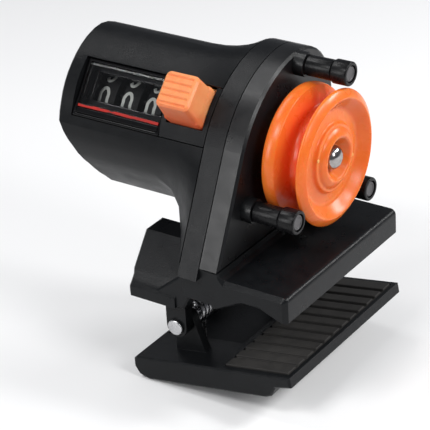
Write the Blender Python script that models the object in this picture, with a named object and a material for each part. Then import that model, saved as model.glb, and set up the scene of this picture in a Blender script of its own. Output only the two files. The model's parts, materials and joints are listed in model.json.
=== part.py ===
# Clip-on line counter for a fishing rod.
# Lengths are in millimetres and measured from the axle, at the middle of the wheel's front rim.
# X runs out along the axle, Y along the rod and Z up. The finished part has its origin on the saddle.
import math

import bmesh
import bpy
from mathutils import Vector

MM = 0.001
TURN = 2 * math.pi
GAP = 0.3
OVERRUN = 1.0

# Line wheel, from its hub outwards
HUB_FLOOR_X = -1.6
HUB_FLOOR_RADIUS = 4.6
HUB_LIP_X = 2.0
HUB_LIP_INNER_RADIUS = 6.8
HUB_LIP_RADIUS = 7.6
HUB_RIDGE_X = 1.2
HUB_RIDGE_RADIUS = 9.1
HUB_STEP_X = 0.4
HUB_STEP_INNER_RADIUS = 9.9
HUB_STEP_RADIUS = 10.9
HUB_FOOT_X = -0.7
HUB_RADIUS = 11.4
DISH_X = -1.2
DISH_RADIUS = 14.9
RIM_INNER_X = 0.6
RIM_INNER_RADIUS = 18.2
RIM_FACE_X = 1.3
RIM_FACE_RADIUS = 19.2
RIM_EDGE_RADIUS = 20.6
WHEEL_RADIUS = 22.0
CREST_X = -0.2
CREST_WIDTH = 0.8
CREST_DROP = 0.4
FLANK_START = 1.2
RIM_PITCH = 11.8
GROOVE_RADIUS = 15.9
GROOVE_FLOOR = 1.8
BACK_DISH_X = -10.2
BACK_HUB_X = -14.6
BACK_HUB_RADIUS = 5.6

# Axle
AXLE_RADIUS = 2.0
AXLE_TIP_RADIUS = 1.0
AXLE_TIP_X = -21.9
DOME_RADIUS = 3.9
DOME_COLLAR = 0.9
DOME_HEIGHT = 2.8
AXLE_BUSH_RADIUS = 4.0
BUSH_RADIUS = 3.0
BUSH_LENGTH = 2.6

# Upright, shared by the cover, the chassis and the barrel's flange
COVER_FACE_X = -17.0
COVER_DEPTH = 7.0
COVER_EDGE = 0.8
CHASSIS_DEPTH = 6.9
WALL = 2.0
UPRIGHT_FOOT_Z = -25.5
FRONT_ARC_Y = 10.25
FRONT_ARC_Z = -9.47
FRONT_ARC_RADIUS = 39.0
REAR_ARC_RADIUS = 19.2
FRONT_LEAN = math.radians(153.6)
ARCS_MEET = math.radians(95.7)

# Base plate with the saddle under it
BASE_FRONT_Y = -41.0
BASE_REAR_Y = 26.8
BASE_RIGHT_X = 7.0
BASE_TOP_Z = -28.3
BASE_BOTTOM_Z = -37.2
BASE_ROUND = 1.8
BASE_LIP = 0.5
BASE_EDGE = 0.6
LEDGE_X = -17.4
LEDGE_SLOPE = 0.9
SADDLE_X = -6.0
SADDLE_Y = -7.5
SADDLE_Z = -34.0
SADDLE_HALF_WIDTH = 12.9
SADDLE_DEPTH = 5.0
SPINE_WIDTH = 1.4
NOTCH_RIGHT_X = -21.2
NOTCH_Z = -38.0
# Across and down, as shares of the saddle's half width and depth
SADDLE_SHARES = (
    (0.91, 0.60), (0.69, 0.46), (0.35, 0.12), (0.23, 0.0),
    (-0.23, 0.0), (-0.39, 0.18), (-0.69, 0.60), (-1.0, 1.0),
)

# Hinge rail and squeeze grip, at the left of the base
RAIL_LEFT_X = -42.0
RAIL_RIGHT_X = -31.9
RAIL_BOTTOM_Z = -43.0
RAIL_SIDE_HEIGHT = 4.5
RAIL_SHOULDER_X = -36.0
RAIL_SHOULDER_Z = -34.0
RAIL_ROOT = 5.0
GRIP_LEFT_X = -52.4
GRIP_RIGHT_X = -34.6
GRIP_DEPTH = 20.5
GRIP_HEIGHT = 18.8
GRIP_EDGE = 0.6
# Back from the front edge and up from the bottom, as shares of the grip's depth and height
GRIP_SHARES = (
    (0.0, 0.0), (0.0, 0.18), (0.06, 0.25), (0.13, 0.35), (0.15, 0.45),
    (0.54, 1.0), (0.95, 1.0), (1.0, 0.9), (1.0, 0.0),
)

# Hinge
HINGE_X = -37.5
HINGE_Z = -52.5
HINGE_RADIUS = 1.6
HINGE_HEAD_RADIUS = 2.7
HINGE_HEAD = 0.9
EAR_RADIUS = 3.8
LUG_WIDTH = 3.8
EAR_WIDTH = 3.2
EAR_GAP = 0.5
FRONT_LUG_Y = -37.0
REAR_LUG_Y = 21.8
EAR_HALF_FOOT = 6.0

# Jaw, whose section leans down to the left from its right rim
JAW_RIGHT_X = 7.0
JAW_RIGHT_Z = -56.0
JAW_TILT = math.radians(9.76)
JAW_LENGTH = 61.4
JAW_DEPTH = 8.0
JAW_EDGE = 0.6
# Along the jaw and down from its top, as shares of its length and depth
JAW_SHARES = (
    (0.0, 0.0), (0.0, 0.44), (0.1, 0.53), (0.135, 0.91), (0.17, 1.0),
    (0.92, 1.0), (0.977, 0.825), (1.0, 0.45), (0.993, 0.1), (0.977, 0.0),
)
PAD_START = 1.6
PAD_WIDTH = 23.8
PAD_THICKNESS = 2.7
PAD_POCKET = 2.5
PAD_FRONT_Y = -38.2
PAD_REAR_Y = 24.2
PAD_RIBS = 12
PAD_GROOVE_WIDTH = 1.5
PAD_GROOVE = 0.8
TROUGH_START = 28.4
TROUGH_END = 58.7
TROUGH_DEPTH = 6.0
TROUGH_FRONT_Y = -24.0
TROUGH_REAR_Y = 24.8

# Springs
JAW_SPRING_RADIUS = 3.3
JAW_SPRING_WIRE = 1.2
JAW_SPRING_CURLS = 5
JAW_SPRING_Y = -27.4
JAW_SPRING_LENGTH = 9.8
RESET_SPRING_RADIUS = 2.7
RESET_SPRING_WIRE = 0.8
RESET_SPRING_CURLS = 4
CURL_POINTS = 10

# Barrel
BARREL_RADIUS = 26.0
BARREL_WALL = 2.2
BARREL_END_X = -88.5
BARREL_EDGE = 1.0
BEVEL_Z = 3.0
BEVEL_SHARE = 0.24
FLARE_TOP_X = -48.5
FLARE_LOW_X = -57.0
CREASE_ANGLE = math.radians(172)
# Degrees round the barrel from the rear, and the section's radius there as a share of the barrel's
BARREL_SHARES = (
    (0, 0.992), (45, 0.992), (56, 0.996), (70, 1.019), (80, 1.062), (90, 1.085), (100, 1.081),
    (115, 1.046), (127, 1.019), (140, 1.002), (158, 0.985), (172, 0.994), (195, 0.902),
    (220, 0.865), (239, 0.915), (250, 0.985), (262, 1.008), (280, 1.008), (300, 1.0), (330, 0.992),
    (360, 0.992),
)
# How far along the flare each ring stands, and how far its shape has gone over to the upright's
FLARE_SHARES = ((0.0, 0.0), (0.3, 0.08), (0.55, 0.28), (0.78, 0.6), (1.0, 1.0))

# Display window
DISPLAY_ANGLE = math.radians(142.7)
WINDOW_LEFT_X = -83.0
WINDOW_RIGHT_X = -48.5
WINDOW_HALF_HEIGHT = 9.8
WINDOW_CORNER = 0.6
FRAME_FACE = 24.0
FRAME_BACK = 16.6
FRAME_WALL = 1.75
FRAME_LIP = 0.85
PANE_THICKNESS = 1.2
PANE_LOW = -5.1
LINE_WIDTH = 1.0

# Number drums
DRUM_RADIUS = 15.0
DRUM_PITCH = 9.3
DRUM_WIDTH = 6.6
DRUM_RIM = 1.6
DRUM_HUB_RADIUS = 3.2
UNITS_RIGHT_X = -56.2
COUNTER_RADIUS = 1.5
COUNTER_RIGHT_X = -24.9
DRUMS = ("units", "tens", "hundreds")

# Carry pinions between the drums
CARRY_DISTANCE = 16.6
CARRY_ANGLE = math.radians(20)
CARRY_TEETH = 20
CARRY_PINION_TEETH = 8
CARRY_WIDTH = 1.8
CARRY_RADIUS = 1.0
BEARING_WALL = 1.9

# Gear train from the axle to the counter shaft
GEAR_MODULE = 0.6
PINION_TEETH = 8
FIRST_TEETH = 32
SECOND_TEETH = 40
GEAR_WIDTH = 2.2
GEAR_STEP = 2.8
FIRST_GEAR_X = -19.5
IDLER_TWO_ANGLE = math.radians(215)
IDLER_PIN_RADIUS = 1.0
IDLER_HUB_RADIUS = 1.9
PIN_SEAT = 0.7
# How high and how wide a tooth is, as shares of the module and of the space between teeth
ADDENDUM_SHARE = 0.85
DEDENDUM_SHARE = 1.2
ROOT_SHARE = 0.28
TIP_SHARE = 0.10

# Reset button. Low and high are measured round the barrel, top and bottom out from its axis.
BUTTON_ANGLE = math.radians(135.5)
BUTTON_X = -40.0
BUTTON_LEFT_X = -46.5
BUTTON_RIGHT_X = -33.4
BUTTON_LOW = -7.6
BUTTON_HIGH = 5.6
BUTTON_TOP = 35.4
BUTTON_SHOULDER = 27.8
BUTTON_TOP_LOW = -4.6
BUTTON_TOP_RIGHT_X = -35.4
BUTTON_ROUND = 0.7
BUTTON_CORNER = 1.4
BUTTON_FLANGE = 1.1
BUTTON_FLANGE_TOP = 21.2
BUTTON_FLANGE_THICKNESS = 1.6
BUTTON_RIBS = 5
BUTTON_RIB_PITCH = 1.9
BUTTON_GROOVE = 0.5
STUB_RADIUS = 1.6
STUB_LENGTH = 4.6
SHELF_TOP = 11.5
SHELF_THICKNESS = 1.7
SHELF_HALF_WIDTH = 4.0

# Guide posts
POST_DISTANCE = 26.6
POST_ANGLES = {"top": math.radians(72.4), "front": math.radians(204.2), "rear": math.radians(314.2)}
BOSS_RADIUS = 4.0
BOSS_LENGTH = 3.7
ROLLER_RADIUS = 3.35
CAP_RADIUS = 3.9
CAP_LENGTH = 5.6
CAP_END_X = 2.0
CAP_EDGE = 0.4
PIN_RADIUS = 1.3
PIN_HEAD_RADIUS = 2.5
PIN_HEAD = 1.2
PIN_TAIL = 1.7

# Screws that hold the cover and the barrel to the chassis
SCREW_RADIUS = 1.3
SCREW_HEAD_RADIUS = 2.6
SCREW_HEAD = 1.8
SCREW_BOSS_RADIUS = 3.0
SCREW_GRIP = 8.0
COVER_UPPER_DISTANCE = 18.5
COVER_LOWER_DISTANCE = 21.5
BARREL_SCREW_DISTANCE = 22.6
COVER_UPPER_ANGLE = math.radians(100)
COVER_LOWER_ANGLE = math.radians(325)
BARREL_UPPER_ANGLE = math.radians(60)
BARREL_LOWER_ANGLE = math.radians(350)

# Steps round each kind of piece
WHEEL_STEPS = 48
BARREL_STEPS = 48
ARC_STEPS = 9
SHAFT_STEPS = 14
SLEEVE_STEPS = 20
DRUM_STEPS = 28
LUG_STEPS = 8
DOME_STEPS = 5
CORNER_STEPS = 3

SEAM_X = COVER_FACE_X - COVER_DEPTH
CHASSIS_RIGHT_X = SEAM_X - GAP
CHASSIS_LEFT_X = CHASSIS_RIGHT_X - CHASSIS_DEPTH
CHAMBER_RIGHT_X = COVER_FACE_X - WALL
CHAMBER_LEFT_X = CHASSIS_LEFT_X + WALL
BARREL_RIGHT_X = CHASSIS_LEFT_X - GAP
LEDGE_Z = UPRIGHT_FOOT_Z - GAP
HUNDREDS_LEFT_X = UNITS_RIGHT_X - 2 * DRUM_PITCH - DRUM_WIDTH
BLOCK_RIGHT_X = HUNDREDS_LEFT_X - GAP
REAR_BUSH_RIGHT_X = CHASSIS_LEFT_X + BUSH_LENGTH
REAR_LUG_FRONT_Y = REAR_LUG_Y - LUG_WIDTH
FRONT_EAR_Y = FRONT_LUG_Y + LUG_WIDTH + EAR_GAP
REAR_EAR_Y = REAR_LUG_FRONT_Y - EAR_GAP - EAR_WIDTH
HINGE = (HINGE_X, 0, HINGE_Z)
ALONG_ROD = (0, 0, TURN / 4)

LOOKS = {
    "body_black": ((0.022, 0.024, 0.026), 0.55, 0.0),
    "cover_black": ((0.026, 0.027, 0.029), 0.38, 0.0),
    "gloss_black": ((0.010, 0.010, 0.011), 0.15, 0.0),
    "drum_black": ((0.015, 0.015, 0.016), 0.40, 0.0),
    "wheel_orange": ((0.83, 0.13, 0.025), 0.25, 0.0),
    "button_orange": ((0.85, 0.24, 0.085), 0.40, 0.0),
    "line_red": ((0.70, 0.02, 0.015), 0.35, 0.0),
    "clear_pane": ((0.85, 0.88, 0.88), 0.05, 0.0),
    "bright_steel": ((0.60, 0.60, 0.61), 0.28, 1.0),
    "dome_chrome": ((0.80, 0.80, 0.80), 0.08, 1.0),
    "pin_grey": ((0.16, 0.15, 0.155), 0.45, 0.3),
    "bush_brass": ((0.62, 0.44, 0.16), 0.30, 1.0),
    "gear_white": ((0.72, 0.72, 0.69), 0.45, 0.0),
    "pad_rubber": ((0.045, 0.043, 0.040), 0.80, 0.0),
}


def look(kind):
    if kind in bpy.data.materials:
        return bpy.data.materials[kind]
    colour, roughness, metallic = LOOKS[kind]
    material = bpy.data.materials.new(kind)
    material.use_nodes = True
    shader = material.node_tree.nodes["Principled BSDF"]
    shader.inputs["Base Color"].default_value = (*colour, 1.0)
    shader.inputs["Roughness"].default_value = roughness
    shader.inputs["Metallic"].default_value = metallic
    if kind == "clear_pane":
        shader.inputs["Transmission Weight"].default_value = 1.0
    return material


def placed(obj, at):
    """Puts the object at a point that is measured from the axle."""
    saddle = Vector((SADDLE_X, SADDLE_Y, SADDLE_Z))
    obj.location = (Vector(at) - saddle) * MM
    bpy.context.scene.collection.objects.link(obj)
    return obj


def finish(name, bm, kind, at=(0, 0, 0), turn=(0, 0, 0)):
    """Makes the object. Its mesh is measured from the point at, in axes turned by turn."""
    bmesh.ops.recalc_face_normals(bm, faces=bm.faces)
    bmesh.ops.scale(bm, vec=Vector((MM, MM, MM)), verts=bm.verts)
    mesh = bpy.data.meshes.new(name)
    bm.to_mesh(mesh)
    bm.free()
    mesh.materials.append(look(kind))
    mesh.shade_smooth()
    mesh.set_sharp_from_angle(angle=math.radians(35))
    obj = bpy.data.objects.new(name, mesh)
    obj.rotation_euler = turn
    return placed(obj, at)


def boolean(operation, obj, bm, at=(0, 0, 0), turn=(0, 0, 0)):
    """Adds the mesh to the object, cuts it away or keeps what both share."""
    name = f"{obj.name}_tool_{len(obj.modifiers)}"
    tool = finish(name, bm, obj.data.materials[0].name, at, turn)
    tool.hide_render = True
    tool.display_type = "WIRE"
    modifier = obj.modifiers.new(name, "BOOLEAN")
    modifier.operation = operation
    modifier.object = tool
    modifier.solver = "EXACT"


def join(obj, bm, at=(0, 0, 0), turn=(0, 0, 0)):
    boolean("UNION", obj, bm, at, turn)


def cut(obj, bm, at=(0, 0, 0), turn=(0, 0, 0)):
    boolean("DIFFERENCE", obj, bm, at, turn)


def lofted(rings, hubs=(None, None), closed=False):
    """A skin through rings of points. Its ends are flat, or fans round a hub, or meet each other."""
    bm = bmesh.new()
    loops = [[bm.verts.new(point) for point in ring] for ring in rings]
    count = len(rings[0])
    pairs = list(zip(loops, loops[1:]))
    if closed:
        pairs.append((loops[-1], loops[0]))
    for first, second in pairs:
        for i in range(count):
            j = (i + 1) % count
            bm.faces.new((first[i], first[j], second[j], second[i]))
    if closed:
        return bm
    for loop, hub in zip((loops[0], loops[-1]), hubs):
        if hub is None:
            bm.faces.new(loop)
            continue
        middle = bm.verts.new(hub)
        for i in range(count):
            bm.faces.new((loop[i], loop[(i + 1) % count], middle))
    return bm


def along_x(*sections):
    """A skin through outlines in YZ, given as pairs of X and outline."""
    return lofted([[(x, y, z) for y, z in outline] for x, outline in sections])


def along_y(*sections):
    return lofted([[(x, y, z) for x, z in outline] for y, outline in sections])


def block(low, high):
    corners = ((low[0], low[1]), (high[0], low[1]), (high[0], high[1]), (low[0], high[1]))
    return lofted([[(x, y, z) for x, y in corners] for z in (low[2], high[2])])


def turned(profile, steps):
    """Spins points, each given along X and out from it, into a closed body."""
    bm = bmesh.new()
    points = [bm.verts.new((x, 0, radius)) for x, radius in profile]
    edges = [bm.edges.new(pair) for pair in zip(points, points[1:])]
    if profile[0][1] > 0:
        edges.append(bm.edges.new((points[-1], points[0])))
    bmesh.ops.spin(
        bm, geom=points + edges, cent=(0, 0, 0), axis=(1, 0, 0), angle=TURN, steps=steps
    )
    bmesh.ops.remove_doubles(bm, verts=bm.verts, dist=MM)
    return bm


def rod(radius, start, end, steps=SHAFT_STEPS):
    return turned([(start, 0), (start, radius), (end, radius), (end, 0)], steps)


def sleeve(radius, bore, start, end, steps=SLEEVE_STEPS):
    return turned([(start, bore), (start, radius), (end, radius), (end, bore)], steps)


def polar(radius, angle):
    return radius * math.cos(angle), radius * math.sin(angle)


def axle_place(distance, angle, x=0):
    """The point at a distance from the axle, in a direction round it."""
    return (x, *polar(distance, angle))


def facing(angle):
    """The turn about X that points local Z outwards in the given direction round the axle."""
    return (angle - TURN / 4, 0, 0)


def arc(centre, radius, start, end, steps):
    points = []
    for i in range(steps + 1):
        offset = polar(radius, start + (end - start) * i / steps)
        points.append((centre[0] + offset[0], centre[1] + offset[1]))
    return points


def shrunk(outline, distance):
    """The outline moved inwards, with mitred corners."""
    area = sum(a[0] * b[1] - b[0] * a[1] for a, b in zip(outline, outline[1:] + outline[:1]))
    side = math.copysign(1, area)
    moved = []
    for i, point in enumerate(outline):
        before = Vector(point) - Vector(outline[i - 1])
        after = Vector(outline[(i + 1) % len(outline)]) - Vector(point)
        first = Vector((-before.y, before.x)).normalized() * side
        second = Vector((-after.y, after.x)).normalized() * side
        mitre = (first + second) / (1 + first.dot(second))
        moved.append(tuple(Vector(point) + mitre * distance))
    return moved


def rounded_box(left, right, low, high, corner):
    """A rectangle with round corners."""
    quarter = TURN / 4
    centres = (
        (right - corner, high - corner),
        (left + corner, high - corner),
        (left + corner, low + corner),
        (right - corner, low + corner),
    )
    points = []
    for i, centre in enumerate(centres):
        points += arc(centre, corner, quarter * i, quarter * (i + 1), CORNER_STEPS)
    return points


def wire(name, points, thickness):
    """A curve swept into one closed wire. It prints the least gap between the wire's own curls."""
    curve = bpy.data.curves.new(name, "CURVE")
    curve.dimensions = "3D"
    curve.bevel_depth = thickness / 2 * MM
    curve.bevel_resolution = 1
    curve.use_fill_caps = True
    spline = curve.splines.new("POLY")
    spline.points.add(len(points) - 1)
    for target, point in zip(spline.points, points):
        target.co = (*(Vector(point) * MM), 1.0)
    curve.materials.append(look("bright_steel"))
    apart = CURL_POINTS // 2
    nearest = min(
        (Vector(first) - Vector(second)).length
        for i, first in enumerate(points)
        for second in points[i + apart :]
    )
    print(f"{name}: least gap to itself {nearest - thickness:.2f} mm")
    return bpy.data.objects.new(name, curve)


def gear_outline(module, teeth, toward):
    """Straight-sided teeth round the X axis, with one tooth in the direction toward."""
    pitch_radius = module * teeth / 2
    tip = pitch_radius + module * ADDENDUM_SHARE
    root = pitch_radius - module * DEDENDUM_SHARE
    space = TURN / teeth
    flanks = ((root, -ROOT_SHARE), (tip, -TIP_SHARE), (tip, TIP_SHARE), (root, ROOT_SHARE))
    points = []
    for i in range(teeth):
        for radius, share in flanks:
            points.append(polar(radius, toward + space * (i + share)))
    return points


def gear(module, teeth, toward, start, end):
    outline = gear_outline(module, teeth, toward)
    return along_x((start, outline), (end, outline))


def meeting(teeth, toward):
    """Where a gear's tooth points so that it has a space between teeth in the direction toward."""
    return toward + TURN / teeth / 2


def screw(name, place, head_x, way):
    """A screw along X. Its shank leaves the head in the direction way, 1 or -1."""
    tip = SCREW_HEAD + WALL + 2 * GAP + SCREW_GRIP
    profile = [
        (0, 0), (0, SCREW_RADIUS), (SCREW_HEAD / 2, SCREW_HEAD_RADIUS),
        (SCREW_HEAD, SCREW_HEAD_RADIUS), (SCREW_HEAD, SCREW_RADIUS), (tip, SCREW_RADIUS), (tip, 0),
    ]
    bm = turned([(head_x + way * x, radius) for x, radius in profile], SHAFT_STEPS)
    finish(name, bm, "bright_steel", place)


def upright_outline(inset=0.0, foot=UPRIGHT_FOOT_Z):
    """The upright's outline in YZ, from its front foot over the top to its rear foot."""
    foot += inset
    centre = (FRONT_ARC_Y, FRONT_ARC_Z)
    front = arc(centre, FRONT_ARC_RADIUS - inset, FRONT_LEAN, ARCS_MEET, ARC_STEPS)
    offset = polar(FRONT_ARC_RADIUS - REAR_ARC_RADIUS, ARCS_MEET)
    rear_centre = (centre[0] + offset[0], centre[1] + offset[1])
    rear = arc(rear_centre, REAR_ARC_RADIUS - inset, ARCS_MEET, 0, ARC_STEPS)
    drop = (front[0][1] - foot) / -math.cos(FRONT_LEAN)
    toe = (front[0][0] - drop * math.sin(FRONT_LEAN), foot)
    heel = (rear[-1][0], foot)
    return [toe] + front + rear[1:] + [heel]


def cover_screw_places():
    return (
        axle_place(COVER_UPPER_DISTANCE, COVER_UPPER_ANGLE),
        axle_place(COVER_LOWER_DISTANCE, COVER_LOWER_ANGLE),
    )


def barrel_screw_places():
    return (
        axle_place(BARREL_SCREW_DISTANCE, BARREL_UPPER_ANGLE),
        axle_place(BARREL_SCREW_DISTANCE, BARREL_LOWER_ANGLE),
    )


def cover():
    """The shell behind the wheel, with bosses for the posts outside and for screws inside."""
    obj = finish(
        "front_cover",
        along_x(
            (COVER_FACE_X, upright_outline(COVER_EDGE)),
            (COVER_FACE_X - COVER_EDGE, upright_outline()),
            (SEAM_X, upright_outline()),
            (SEAM_X, upright_outline(WALL)),
            (CHAMBER_RIGHT_X, upright_outline(WALL)),
        ),
        "cover_black",
    )
    inside = (COVER_FACE_X + CHAMBER_RIGHT_X) / 2
    boss_end = COVER_FACE_X + BOSS_LENGTH
    through = CHAMBER_RIGHT_X - OVERRUN
    for angle in POST_ANGLES.values():
        place = axle_place(POST_DISTANCE, angle)
        join(obj, rod(BOSS_RADIUS, inside, boss_end, SLEEVE_STEPS), place)
        cut(obj, rod(PIN_RADIUS + GAP, through, boss_end + OVERRUN), place)
    for place in cover_screw_places():
        join(obj, rod(SCREW_BOSS_RADIUS, CHAMBER_LEFT_X + GAP, inside), place)
        hole_end = CHAMBER_LEFT_X + SCREW_GRIP + 2 * GAP
        cut(obj, rod(SCREW_RADIUS + GAP, CHAMBER_LEFT_X - OVERRUN, hole_end), place)
    cut(obj, rod(AXLE_BUSH_RADIUS + GAP, through, COVER_FACE_X + OVERRUN, SLEEVE_STEPS))
    for place in (idler_one_place(), idler_two_place()):
        cut(obj, rod(IDLER_PIN_RADIUS + GAP, through, COVER_FACE_X - PIN_SEAT), place)


def base_outline():
    """The base plate and the saddle in XZ."""
    round_centre = (BASE_RIGHT_X - BASE_ROUND, BASE_TOP_Z - BASE_ROUND)
    saddle = [
        (SADDLE_X + SADDLE_HALF_WIDTH * across, SADDLE_Z - SADDLE_DEPTH * down)
        for across, down in SADDLE_SHARES
    ]
    return (
        [(BASE_RIGHT_X - BASE_LIP, BASE_BOTTOM_Z), (BASE_RIGHT_X, BASE_BOTTOM_Z + BASE_LIP)]
        + arc(round_centre, BASE_ROUND, 0, TURN / 4, CORNER_STEPS)
        + [
            (LEDGE_X + 2 * LEDGE_SLOPE, BASE_TOP_Z),
            (LEDGE_X + LEDGE_SLOPE / 2, BASE_TOP_Z + LEDGE_SLOPE),
            (LEDGE_X, LEDGE_Z),
            (CHASSIS_LEFT_X, LEDGE_Z),
            (CHASSIS_LEFT_X, NOTCH_Z),
            (NOTCH_RIGHT_X, NOTCH_Z),
            (saddle[-1][0] - SPINE_WIDTH, saddle[-1][1]),
        ]
        + saddle[::-1]
    )


def rail_outline():
    """The hinge rail in XZ. Its right end lies inside the base."""
    root_x = CHASSIS_LEFT_X + RAIL_ROOT
    root_top = BASE_TOP_Z - OVERRUN
    return [
        (RAIL_LEFT_X, RAIL_BOTTOM_Z),
        (RAIL_RIGHT_X, RAIL_BOTTOM_Z),
        (CHASSIS_LEFT_X + WALL, NOTCH_Z),
        (root_x, NOTCH_Z + OVERRUN),
        (root_x, root_top),
        (CHASSIS_LEFT_X + OVERRUN, root_top),
        (RAIL_SHOULDER_X, RAIL_SHOULDER_Z),
        (RAIL_LEFT_X, RAIL_BOTTOM_Z + RAIL_SIDE_HEIGHT),
    ]


def grip_outline():
    return [
        (BASE_FRONT_Y + GRIP_DEPTH * back, RAIL_BOTTOM_Z + GRIP_HEIGHT * up)
        for back, up in GRIP_SHARES
    ]


def lug_outline():
    """A hinge lug in XZ, from the hinge. It hangs from the rail."""
    root = RAIL_BOTTOM_Z - HINGE_Z + OVERRUN
    bottom = arc((0, 0), EAR_RADIUS, TURN / 2, TURN, LUG_STEPS)
    return [(-EAR_RADIUS, root)] + bottom + [(EAR_RADIUS, root)]


def ends_along_y(outline, front, rear, edge):
    """The outline run along Y with bevelled ends."""
    small = shrunk(outline, edge)
    return along_y((front, small), (front + edge, outline), (rear - edge, outline), (rear, small))


def button_middle():
    return (BUTTON_LOW + BUTTON_HIGH) / 2


def chassis():
    """The upright, the base, the saddle, the rail, the grip and the lugs in one moulding."""
    buried = BASE_TOP_Z - OVERRUN
    obj = finish(
        "chassis",
        along_x(
            (CHASSIS_LEFT_X, upright_outline(foot=buried)),
            (CHASSIS_RIGHT_X, upright_outline(foot=buried)),
            (CHASSIS_RIGHT_X, upright_outline(WALL)),
            (CHAMBER_LEFT_X, upright_outline(WALL)),
        ),
        "body_black",
    )
    join(obj, ends_along_y(base_outline(), BASE_FRONT_Y, BASE_REAR_Y, BASE_EDGE))
    rail_ends = (BASE_FRONT_Y + BASE_EDGE, BASE_REAR_Y - BASE_EDGE)
    join(obj, ends_along_y(rail_outline(), *rail_ends, BASE_EDGE))
    grip = grip_outline()
    small = shrunk(grip, GRIP_EDGE)
    join(obj, along_x((GRIP_LEFT_X, small), (GRIP_LEFT_X + GRIP_EDGE, grip), (GRIP_RIGHT_X, grip)))
    for front in (FRONT_LUG_Y, REAR_LUG_FRONT_Y):
        join(obj, along_y((front, lug_outline()), (front + LUG_WIDTH, lug_outline())), HINGE)
        hole = rod(HINGE_RADIUS + GAP, front - OVERRUN, front + LUG_WIDTH + OVERRUN)
        cut(obj, hole, HINGE, ALONG_ROD)
    shelf_left = BUTTON_X - SHELF_HALF_WIDTH
    shelf_right = (CHASSIS_LEFT_X + CHAMBER_LEFT_X) / 2
    shelf = block(
        (shelf_left, button_middle() - SHELF_HALF_WIDTH, SHELF_TOP - SHELF_THICKNESS),
        (shelf_right, button_middle() + SHELF_HALF_WIDTH, SHELF_TOP),
    )
    join(obj, shelf, turn=facing(BUTTON_ANGLE))
    through = (CHASSIS_LEFT_X - OVERRUN, CHAMBER_LEFT_X + OVERRUN)
    cut(obj, rod(BUSH_RADIUS + GAP, *through, SLEEVE_STEPS))
    for place in cover_screw_places() + barrel_screw_places():
        cut(obj, rod(SCREW_RADIUS + GAP, *through), place)
    cut(obj, rod(CARRY_RADIUS + GAP, *through), axle_place(CARRY_DISTANCE, CARRY_ANGLE))
    pin_hole = rod(IDLER_PIN_RADIUS + GAP, CHASSIS_LEFT_X + PIN_SEAT, CHAMBER_LEFT_X + OVERRUN)
    cut(obj, pin_hole, idler_two_place())


def section_radius(angle, inset):
    degrees = math.degrees(angle)
    for (start, first), (end, second) in zip(BARREL_SHARES, BARREL_SHARES[1:]):
        if degrees <= end:
            break
    share = first + (second - first) * (degrees - start) / (end - start)
    return BARREL_RADIUS * share - inset


def reach(outline, angle):
    """How far the outline lies from the axle in the given direction."""
    way = polar(1, angle)
    found = []
    for a, b in zip(outline, outline[1:] + outline[:1]):
        edge = (b[0] - a[0], b[1] - a[1])
        cross = way[0] * edge[1] - way[1] * edge[0]
        if not cross:
            continue
        distance = (a[0] * edge[1] - a[1] * edge[0]) / cross
        share = (a[0] * way[1] - a[1] * way[0]) / cross
        if distance > 0 and -MM <= share <= 1 + MM:
            found.append(distance)
    return max(found)


def barrel_angles():
    """Even steps round the barrel, with its crease and the upright's two feet."""
    outline = upright_outline()
    kept = [math.atan2(z, y) % TURN for y, z in (outline[0], outline[-1])] + [CREASE_ANGLE]
    near = TURN / BARREL_STEPS / 2
    even = [TURN * i / BARREL_STEPS for i in range(BARREL_STEPS)]
    return sorted(kept + [a for a in even if min(abs(a - b) for b in kept) > near])


def barrel_ring(inset, station):
    """One ring of the barrel. The station gives X, and how far the flare has gone, at each angle."""
    outline = upright_outline(inset)
    ring = []
    for angle in barrel_angles():
        round_radius = section_radius(angle, inset)
        x, flare = station(angle, round_radius)
        radius = round_radius + (reach(outline, angle) - round_radius) * flare
        ring.append((x, *polar(radius, angle)))
    return ring


def end_station(depth):
    """The barrel's left end, bevelled below."""

    def station(angle, radius):
        drop = max(0, BEVEL_Z - radius * math.sin(angle))
        return BARREL_END_X + depth + BEVEL_SHARE * drop, 0

    return station


def flare_station(along, flare):
    def station(angle, radius):
        low = (1 - math.sin(angle)) / 2
        start = FLARE_TOP_X + (FLARE_LOW_X - FLARE_TOP_X) * low
        return start + (BARREL_RIGHT_X - start) * along, flare

    return station


def barrel_skin():
    """The barrel's wall, open to the right."""
    outer = [barrel_ring(0, flare_station(*shares)) for shares in FLARE_SHARES]
    inner = [barrel_ring(BARREL_WALL, flare_station(*shares)) for shares in FLARE_SHARES[::-1]]
    rings = [
        barrel_ring(BARREL_EDGE, end_station(0)),
        barrel_ring(0, end_station(BARREL_EDGE)),
        *outer,
        *inner,
        barrel_ring(BARREL_WALL, end_station(BARREL_WALL)),
    ]
    hubs = ((BARREL_END_X, 0, BEVEL_Z), (BARREL_END_X + BARREL_WALL, 0, BEVEL_Z))
    return lofted(rings, hubs)


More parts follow.
